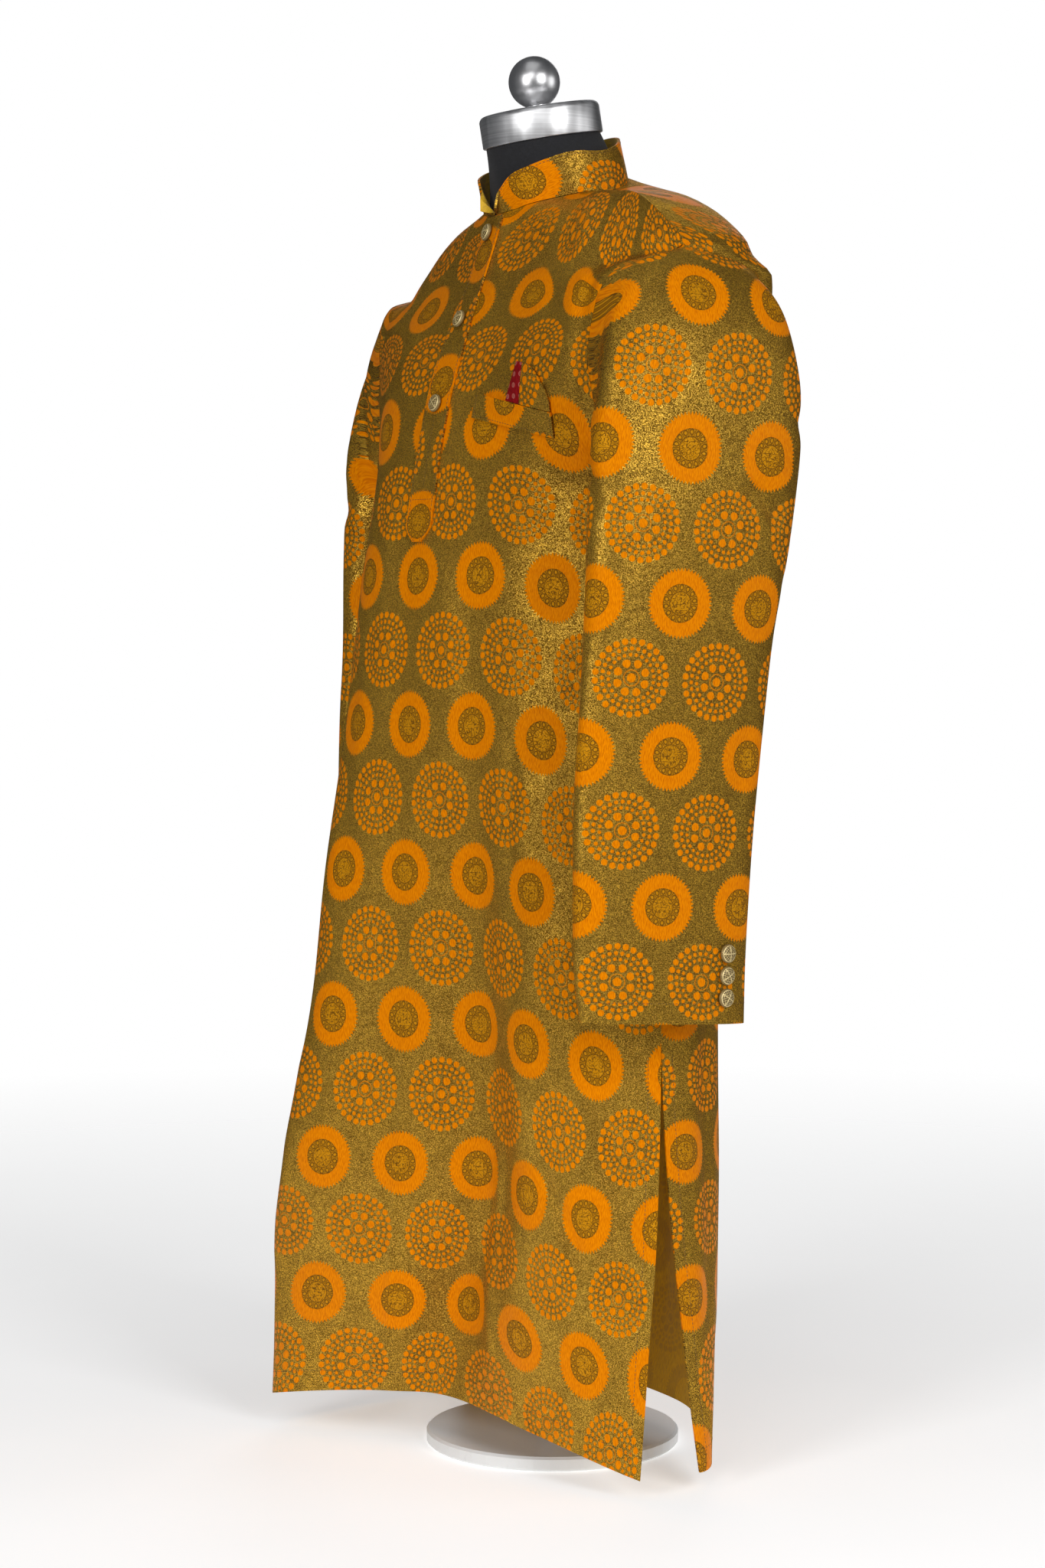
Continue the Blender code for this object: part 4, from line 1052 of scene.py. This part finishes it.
def cap_and_ball(cap_steel, ball_steel):
    """A turned steel cap on the neck, with a polished ball on top."""
    axis = Matrix.Rotation(NECK_LEAN, 3, "X") @ Vector((0, 0, 1))
    seat = NECK_TOP - Vector((0, 0, FLOOR_Z)) + axis * SEAM_GAP
    r, h = CAP_R, CAP_HEIGHT
    profile = [(0, 0), (r - 0.0012, 0), (r - 0.0003, 0.0004), (r, 0.0012)]
    profile += [(r - inward, h - down) for inward, down in CAP_EDGE] + [(0.5 * r, h), (0.2 * r, h), (0, h)]
    cap = turned("neck_cap_turned", profile, seat, axis, cap_steel, CAP_AROUND, CAP_SHARP)
    centre = BALL_STEM_RISE + math.sqrt(BALL_R ** 2 - BALL_STEM_R ** 2)
    first = math.asin(BALL_STEM_R / BALL_R)
    angles = [first + (math.pi - first) * n / BALL_RINGS for n in range(1, BALL_RINGS)]
    ball = [(0, 0), (BALL_STEM_R, 0), (BALL_STEM_R, BALL_STEM_RISE)]
    ball += [(BALL_R * math.sin(angle), centre - BALL_R * math.cos(angle)) for angle in angles]
    ball.append((0, centre + BALL_R))
    ball_seat = seat + axis * (h + SEAM_GAP)
    finial = turned("ball_polished", ball, ball_seat, axis, ball_steel, BALL_AROUND, BALL_SHARP)
    return cap, finial


# Finishes

class Graph:
    """Adds nodes to one tree. Values may be numbers, colours of three numbers, or sockets."""

    def __init__(self, tree):
        self.tree = tree

    def node(self, kind, settings=None, **inputs):
        node = self.tree.nodes.new(kind)
        for name, value in (settings or {}).items():
            setattr(node, name, value)
        for name, value in inputs.items():
            self.feed(node.inputs[name.replace("_", " ")], value)
        return node

    def feed(self, socket, value):
        if isinstance(value, bpy.types.NodeSocket):
            self.tree.links.new(value, socket)
        else:
            socket.default_value = (*value, 1.0) if socket.type == "RGBA" else value

    def math(self, operation, *values, clamp=False):
        node = self.node("ShaderNodeMath", {"operation": operation, "use_clamp": clamp})
        for socket, value in zip(node.inputs, values):
            self.feed(socket, value)
        return node.outputs[0]

    def add(self, first, second):
        return self.math("ADD", first, second)

    def sub(self, first, second):
        return self.math("SUBTRACT", first, second)

    def mul(self, first, second, clamp=False):
        return self.math("MULTIPLY", first, second, clamp=clamp)

    def mad(self, value, factor, more, clamp=False):
        return self.math("MULTIPLY_ADD", value, factor, more, clamp=clamp)

    def largest(self, *values):
        total = values[0]
        for value in values[1:]:
            total = self.math("MAXIMUM", total, value)
        return total

    def below(self, value, limit, soft):
        """1 where value is under limit, 0 where it is over, with a soft edge."""
        return self.mad(self.sub(limit, value), 1 / soft, 0.5, clamp=True)

    def near(self, value, middle, half, soft):
        """1 where value is within half of middle."""
        return self.below(self.math("ABSOLUTE", self.sub(value, middle)), half, soft)

    def length(self, x, y):
        return self.math("SQRT", self.mad(x, x, self.mul(y, y)))

    def lattice(self, place, repeats, shift):
        """How far a place is, sideways and upward, from the nearest point of a lattice."""
        parts = self.node("ShaderNodeSeparateXYZ", Vector=place)
        local = []
        for axis, repeat in zip("XY", repeats):
            share = self.math("FRACT", self.mad(parts.outputs[axis], 1 / repeat, shift))
            local.append(self.mul(self.sub(share, 0.5), repeat))
        return local

    def blend(self, share, first, second, mode="MIX"):
        node = self.node("ShaderNodeMix", {"data_type": "RGBA", "blend_type": mode})
        for socket, value in zip((node.inputs[0], node.inputs[6], node.inputs[7]), (share, first, second)):
            self.feed(socket, value)
        return node.outputs[2]

    def noise(self, vector, scale, detail=2.0, roughness=0.5):
        node = self.node("ShaderNodeTexNoise", Vector=vector, Scale=scale, Detail=detail, Roughness=roughness)
        return node.outputs["Fac"]

    def ramp(self, value, *stops):
        """Colours by value; stops are (position, colour)."""
        node = self.node("ShaderNodeValToRGB", Fac=value)
        elements = node.color_ramp.elements
        for n, (position, color) in enumerate(stops):
            element = elements[n] if n < len(elements) else elements.new(position)
            element.position = position
            element.color = (*color, 1.0)
        return node.outputs["Color"]

    def stretch(self, vector, scale, turn=0.0):
        node = self.node("ShaderNodeMapping", Vector=vector, Scale=scale, Rotation=(0.0, 0.0, turn))
        return node.outputs["Vector"]

    def bump(self, height, distance, strength, **normal):
        return self.node("ShaderNodeBump", Height=height, Distance=distance, Strength=strength,
                         **normal).outputs["Normal"]


class Finish(Graph):
    """A new material with its graph and shader."""

    def __init__(self, name):
        self.material = bpy.data.materials.new(name)
        self.material.use_nodes = True
        super().__init__(self.material.node_tree)

    def cloth(self):
        return self.node("ShaderNodeUVMap", {"uv_map": "Cloth"}).outputs["UV"]

    def place(self):
        return self.node("ShaderNodeTexCoord").outputs["Object"]

    def shade(self, **inputs):
        """Feeds the shader's sockets, named with _ for each space, and gives the finished material."""
        shader = self.tree.nodes["Principled BSDF"]
        for name, value in inputs.items():
            self.feed(shader.inputs[name.replace("_", " ")], value)
        return self.material


def grey(value):
    return (value, value, value)


def petal(g, turn, count, phase=0.0):
    """-0.5 to 0.5 within each of count equal parts of a turn."""
    return g.sub(g.math("FRACT", g.mad(turn, count / (2 * math.pi), phase + 8.0)), 0.5)


def circle(g, reach, radius):
    return g.near(reach, radius, LINE_HALF, LINE_HALF)


def disc_drawing(g, place, reach, turn):
    """A toothed satin ring, the middle that it leaves free, and the lines drawn there."""
    tooth = g.mul(g.math("ABSOLUTE", petal(g, turn, DISC_TEETH)), 2.0)
    disc = g.below(reach, g.mad(tooth, TOOTH_DEPTH, DISC_R - TOOTH_DEPTH), EDGE_SOFT)
    centre = g.below(reach, DISC_CENTRE_R, EDGE_SOFT)
    part = petal(g, turn, DISC_CELLS)
    aside = g.mul(part, 2 * math.pi * CELL_BAND_R / DISC_CELLS)
    cell = g.length(aside, g.mul(g.sub(reach, CELL_BAND_R), 0.8))
    walls = g.below(g.sub(0.5, g.math("ABSOLUTE", part)), 0.06, 0.08)
    in_band = g.near(reach, CELL_BAND_R, CELL_BAND_HALF, EDGE_SOFT)
    cells = g.mul(g.largest(circle(g, cell, CELL_R), walls), in_band)
    scribble = g.near(g.noise(place, 330.0, 1.5), 0.5, 0.03, 0.03)
    scribble = g.mul(scribble, g.below(reach, INNER_R - 0.0008, EDGE_SOFT))
    lines = g.largest(circle(g, reach, DISC_CENTRE_R), circle(g, reach, INNER_R), cells, scribble)
    return g.mul(disc, g.sub(1.0, centre)), centre, lines


def medallion_drawing(g, reach, turn):
    """Rings of dots with a ring and a dot in the middle, and the dark ground between them."""
    areas = []
    for count, ring, radius, phase in MEDALLION_DOTS:
        aside = g.mul(petal(g, turn, count, phase), 2 * math.pi * ring / count)
        areas.append(g.below(g.length(aside, g.sub(reach, ring)), radius, EDGE_SOFT))
    areas.append(g.below(reach, MEDALLION_CENTRE_R, EDGE_SOFT))
    areas.append(g.mul(circle(g, reach, MEDALLION_RING_R), 0.85))
    return g.largest(*areas), g.mul(g.below(reach, MEDALLION_R, 0.0012), 0.28)


def roundel_group():
    """The weave's drawing: discs with toothed satin rings, and medallions of dots between them."""
    tree = bpy.data.node_groups.new("roundels", "ShaderNodeTree")
    tree.interface.new_socket("Vector", in_out="INPUT", socket_type="NodeSocketVector")
    for name in ROUNDEL_AREAS:
        tree.interface.new_socket(name, in_out="OUTPUT", socket_type="NodeSocketFloat")
    g = Graph(tree)
    place = g.node("NodeGroupInput").outputs["Vector"]
    fray = g.mul(g.sub(g.noise(place, 1100.0, 1.0), 0.5), FRAY)

    def from_centre(shift):
        """Frayed distance and turn round the nearest roundel's centre."""
        x, y = g.lattice(place, (REPEAT_U, REPEAT_V), shift)
        return g.add(g.length(x, y), fray), g.math("ARCTAN2", y, x)

    ring, centre, lines = disc_drawing(g, place, *from_centre(0.5))
    dots, gaps = medallion_drawing(g, *from_centre(1.0))
    orange = g.largest(ring, dots)
    lines = g.mul(g.largest(lines, gaps), g.sub(1.0, orange))
    g.node("NodeGroupOutput", Orange=orange, Centre=centre, Line=lines)
    return tree


def brocade_finish(roundels):
    """Brown ground with gold metal threads, orange satin roundels and fine brown outlines."""
    g = Finish("brocade")
    uv = g.cloth()
    drawing = g.node("ShaderNodeGroup", {"node_tree": roundels}, Vector=uv)
    orange, centre, line = (drawing.outputs[name] for name in ROUNDEL_AREAS)
    worms = g.near(g.noise(uv, 1050.0, 1.5, 0.55), 0.5, 0.05, 0.04)
    fine = g.noise(g.stretch(uv, (1.0, 0.7, 1.0)), 2400.0, 2.0, 0.6)
    patches = g.sub(g.noise(uv, 38.0, 2.0), 0.15)
    gold = g.mul(worms, g.mad(fine, 1.2, patches), clamp=True)
    streaks = g.noise(g.stretch(uv, (1.0, 0.16, 1.0), math.radians(62)), 1500.0, 1.5)
    ground = g.blend(gold, g.ramp(fine, (0.36, GROUND_DARK), (0.62, GROUND_BROWN)), GOLD_THREAD)
    ground = g.blend(g.mul(centre, 0.78), ground, CENTRE_GOLD)
    color = g.blend(orange, ground, g.ramp(streaks, (0.36, ORANGE_DEEP), (0.6, ORANGE_LIGHT)))
    color = g.blend(g.mul(line, 0.85), color, THREAD_BROWN)
    plain = g.sub(1.0, g.largest(orange, g.mul(line, 0.8), g.mul(centre, 0.7)))
    rough = g.mad(gold, -0.24, g.mad(fine, 0.12, 0.5))
    raised = g.bump(g.mad(orange, 1.0, g.mul(line, -0.6)), 0.00035, 0.9)
    grain = g.add(g.mul(fine, 0.6), g.mad(streaks, 0.5, g.mul(worms, plain)))
    normal = g.bump(grain, 0.00025, 0.85, Normal=raised)
    return g.shade(Base_Color=color, Metallic=g.mul(plain, gold), Roughness=rough, Normal=normal,
                   Specular_IOR_Level=0.12, Specular_Tint=SATIN_GLINT)


def reverse_finish(roundels):
    """The yellow back of the weave, where the roundels show faintly as floats."""
    g = Finish("brocade_reverse")
    uv = g.cloth()
    drawing = g.node("ShaderNodeGroup", {"node_tree": roundels}, Vector=uv)
    floats = g.noise(g.stretch(uv, (1.0, 0.12, 1.0)), 1400.0, 1.5)
    yellow = g.ramp(floats, (0.34, (0.7, 0.38, 0.006)), (0.62, (0.92, 0.56, 0.01)))
    color = g.blend(g.mul(drawing.outputs["Orange"], 0.35), yellow, (0.5, 0.26, 0.03))
    return g.shade(Base_Color=color, Roughness=g.mad(floats, 0.2, 0.45), Sheen_Weight=0.15,
                   Normal=g.bump(floats, 0.0002, 0.7))


def maroon_finish():
    """Maroon weave with small pale rings."""
    g = Finish("maroon_brocade")
    uv = g.cloth()
    reach = g.length(*g.lattice(uv, (0.008, 0.0085), 0.35))
    ring = g.largest(g.near(reach, 0.0016, 0.00035, 0.0003), g.mul(g.below(reach, 0.001, 0.0003), 0.6))
    threads = g.noise(g.stretch(uv, (1.0, 0.2, 1.0), 0.6), 1500.0)
    red = g.ramp(threads, (0.35, (0.13, 0.001, 0.002)), (0.62, (0.3, 0.003, 0.006)))
    color = g.blend(g.mul(ring, 0.75), red, (0.5, 0.17, 0.13))
    return g.shade(Base_Color=color, Roughness=g.mad(threads, 0.25, 0.4), Specular_IOR_Level=0.2,
                   Normal=g.bump(g.add(threads, ring), 0.0002, 0.6))


def thread_finish():
    """Brown-gold sewing thread."""
    g = Finish("sewing_thread")
    fibres = g.noise(g.place(), 2600.0, 2.0)
    color = g.ramp(fibres, (0.35, (0.07, 0.032, 0.006)), (0.65, (0.17, 0.085, 0.016)))
    return g.shade(Base_Color=color, Roughness=g.mad(fibres, 0.2, 0.45), Normal=g.bump(fibres, 0.0001, 0.6))


def button_finish():
    """Antique pale gold: bright on the filigree, dark in its hollows."""
    g = Finish("button_metal")
    raised = g.node("ShaderNodeAttribute", {"attribute_name": "raised"}).outputs["Fac"]
    grain = g.noise(g.place(), 1900.0, 3.0)
    height = g.mad(grain, 0.35, g.sub(raised, 0.17))
    color = g.ramp(height, (0.15, (0.09, 0.055, 0.015)), (0.55, (0.48, 0.35, 0.13)),
                   (0.9, (0.82, 0.66, 0.33)))
    return g.shade(Base_Color=color, Metallic=g.mad(raised, 0.15, 0.2), Roughness=g.mad(grain, 0.25, 0.28),
                   Normal=g.bump(grain, 0.00008, 0.5))


def jersey_finish():
    """Matte black knit: fine wales and courses, and a little lint."""
    g = Finish("black_jersey")
    place = g.place()
    parts = g.node("ShaderNodeSeparateXYZ", Vector=place)
    around = g.math("ARCTAN2", parts.outputs["X"], g.mul(parts.outputs["Y"], -1.0))
    wales = g.math("SINE", g.mul(around, 420.0))
    courses = g.math("SINE", g.mad(parts.outputs["Z"], 7000.0, g.mul(wales, 1.2)))
    lint = g.noise(place, 420.0, 4.0, 0.7)
    color = g.ramp(lint, (0.4, (0.0045, 0.0045, 0.006)), (0.68, (0.012, 0.012, 0.015)),
                   (0.82, (0.03, 0.03, 0.033)))
    normal = g.bump(g.mad(lint, 0.6, g.mul(wales, courses)), 0.00012, 0.5)
    return g.shade(Base_Color=color, Roughness=g.mad(lint, 0.2, 0.75), Normal=normal,
                   Sheen_Weight=0.08, Sheen_Roughness=0.5)


def steel_finish(name, axis_scale, bright, rough, wear, painted_reflection_depth=0.0):
    """Turned steel with lines drawn out by axis_scale, slight marks, uneven polish, and vertical stripes of
    painted reflection that darken its colour.
    """
    g = Finish(name)
    place = g.place()
    lines = g.noise(g.stretch(place, axis_scale), 1.0, 3.0, 0.6)
    marks = g.noise(place, 95.0, 4.0, 0.65)
    low = 0.72 * bright
    color = g.ramp(lines, (0.3, (low, low, low * 1.01)), (0.7, (bright, bright, bright * 1.01)))
    # Painted reflection: vertical stripes, lighter and darker, stand in for the reflections of a turned
    # surface; the depth sets how dark the darker stripes are
    painted_reflection_stripes = g.noise(g.stretch(place, (1.0, 1.0, 0.02)), 42.0, 2.0, 0.6)
    color = g.blend(1.0, color, g.ramp(painted_reflection_stripes, (0.4, grey(1.0 - painted_reflection_depth)), (0.58, WHITE)), "MULTIPLY")
    uneven = g.mad(lines, 0.5 * wear, g.mul(marks, wear))
    return g.shade(Base_Color=color, Metallic=1.0, Roughness=g.add(uneven, rough),
                   Normal=g.bump(lines, 0.00004, 0.35))


def enamel_finish():
    """Pale satin enamel with faint orange peel and a few scuffs."""
    g = Finish("base_enamel")
    place = g.place()
    peel = g.noise(place, 420.0, 2.0)
    scuffs = g.noise(g.stretch(place, (1.0, 6.0, 1.0), 0.7), 60.0, 5.0, 0.7)
    scuffs = g.ramp(scuffs, (0.62, grey(0.0)), (0.74, WHITE))
    color = g.blend(g.mul(scuffs, 0.35), (0.74, 0.74, 0.73), (0.52, 0.51, 0.49))
    return g.shade(Base_Color=color, Roughness=g.mad(peel, 0.12, 0.32), Normal=g.bump(peel, 0.00008, 0.4))


def floor_finish():
    """Pale floor that fades out towards its rim."""
    g = Finish("studio_floor")
    place = g.place()
    color = g.ramp(g.noise(place, 3.0, 2.0), (0.3, grey(0.86)), (0.7, grey(0.9)))
    parts = g.node("ShaderNodeSeparateXYZ", Vector=place)
    away = g.mul(g.length(parts.outputs["X"], parts.outputs["Y"]), 1 / FLOOR_RADIUS)
    return g.shade(Base_Color=color, Roughness=0.9, Alpha=g.ramp(away, (0.15, WHITE), (0.95, grey(0.0))),
                   Emission_Color=WHITE, Emission_Strength=FLOOR_GLOW)


# Studio

def add_floor():
    turns = [2 * math.pi * n / FLOOR_SIDES for n in range(FLOOR_SIDES)]
    rim = [(FLOOR_RADIUS * math.cos(turn), FLOOR_RADIUS * math.sin(turn), 0.0) for turn in turns]
    floor = mesh_object("studio_floor", rim, [tuple(range(FLOOR_SIDES))], [floor_finish()])


def add_world():
    """A pale surround that lights the object only dimly."""
    world = bpy.data.worlds.new("studio")
    world.use_nodes = True
    world.node_tree.nodes.clear()
    g = Graph(world.node_tree)
    seen = g.node("ShaderNodeBackground", Color=WHITE, Strength=1.0)
    lit = g.node("ShaderNodeBackground", Color=(0.92, 0.95, 1.0), Strength=SURROUND_LIGHT)
    choice = g.node("ShaderNodeMixShader", Fac=g.node("ShaderNodeLightPath").outputs["Is Camera Ray"])
    g.feed(choice.inputs[1], lit.outputs[0])
    g.feed(choice.inputs[2], seen.outputs[0])
    g.node("ShaderNodeOutputWorld", Surface=choice.outputs[0])
    bpy.context.scene.world = world


def place_at(name, data, at, aim):
    """A camera or light at a place, turned towards another."""
    obj = link(bpy.data.objects.new(name, data))
    obj.location = at
    obj.rotation_euler = (aim - Vector(at)).to_track_quat("-Z", "Y").to_euler()
    return obj


def add_camera():
    camera = bpy.data.cameras.new("camera")
    camera.sensor_fit = "VERTICAL"
    camera.sensor_height = SENSOR_HEIGHT
    camera.lens = CAMERA_LENS
    bpy.context.scene.camera = place_at("camera", camera, CAMERA_AT, CAMERA_AIM)


def add_lights():
    for name, place, size, power in LIGHTS:
        light = bpy.data.lights.new(name, "AREA")
        light.shape = "RECTANGLE"
        light.size, light.size_y = size
        light.energy = power
        place_at(name, light, place, LIGHT_AIM)


# Putting it together

def declare(obj, slot, *nodes):
    """A finished piece: rides on the part and stands for its solids, which it hides. Its slot is not used."""
    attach(obj, "root")
    if nodes:
        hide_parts(*nodes)


def add_kurta():
    """The sewn pieces, their stitching and the buttons."""
    roundels = roundel_group()
    brocade = [brocade_finish(roundels), reverse_finish(roundels)]
    maroon = [maroon_finish()] * 2
    thread, metal = thread_finish(), button_finish()

    front = body_panel("kurta_front", front_grid(fine_levels()), CENTRE_COLUMN, FRONT_CREASES, 0.4,
                       weave_of_front, brocade)
    back = body_panel("kurta_back", back_grid(fine_levels()), PANEL_SPACES // 2, BACK_CREASES, 1.9,
                      weave_of_back, brocade)
    left, right = sleeves(brocade)
    band = collar(brocade, front.grid[-1])
    strip = placket(front, brocade)
    welt = pocket_welt(front, brocade)
    gold = square("pocket_square_brocade", front, BROCADE_FOOT, BROCADE_TOP, brocade)
    red = square("pocket_square_maroon", front, MAROON_FOOT, MAROON_TOP, maroon)

    pieces = {"front_panel": front, "back_panel": back, "sleeve_left": left, "sleeve_right": right,
              "collar": band, "placket": strip, "pocket_welt": welt, "square_brocade": gold}
    for node, piece in pieces.items():
        declare(piece.obj, "brocade", node)
    declare(red.obj, "maroon_brocade", "square_maroon")
    sewing = sew(front, back, left, right, band, strip, welt, thread)
    for obj in sewing.values():
        declare(obj, "brocade")
    buttons = {"front": front_buttons(front, metal), "left_cuff": cuff_buttons("left", left.grid, metal),
               "right_cuff": cuff_buttons("right", right.grid, metal)}
    for group, found in buttons.items():
        for n, obj in enumerate(found):
            declare(obj, "button_metal", f"{group}_button_{n + 1}")


def add_form():
    """The dress form, and finishes for the stand, which keeps the part's own shapes."""
    declare(form_body(jersey_finish()), "black_jersey", "form_torso")
    # The last number of the cap's and the ball's steel is the depth of their painted reflection stripes
    cap, ball = cap_and_ball(steel_finish("cap_steel", (6.0, 6.0, 900.0), 1.0, 0.34, 0.12, 0.5),
                             steel_finish("ball_steel", (30.0, 30.0, 30.0), 0.95, 0.26, 0.1, 0.2))
    declare(cap, "cap_steel", "neck_cap")
    declare(ball, "ball_steel", "ball_finial")
    pole = steel_finish("pole_steel", (9.0, 9.0, 1400.0), 0.6, 0.16, 0.16)
    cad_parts["stand_pole"].material_slots[0].material = pole
    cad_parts["stand_base"].material_slots[0].material = enamel_finish()


def main():
    bpy.context.scene.view_settings.view_transform = "Standard"
    add_camera()
    add_lights()
    add_floor()
    add_world()
    add_kurta()
    add_form()


main()
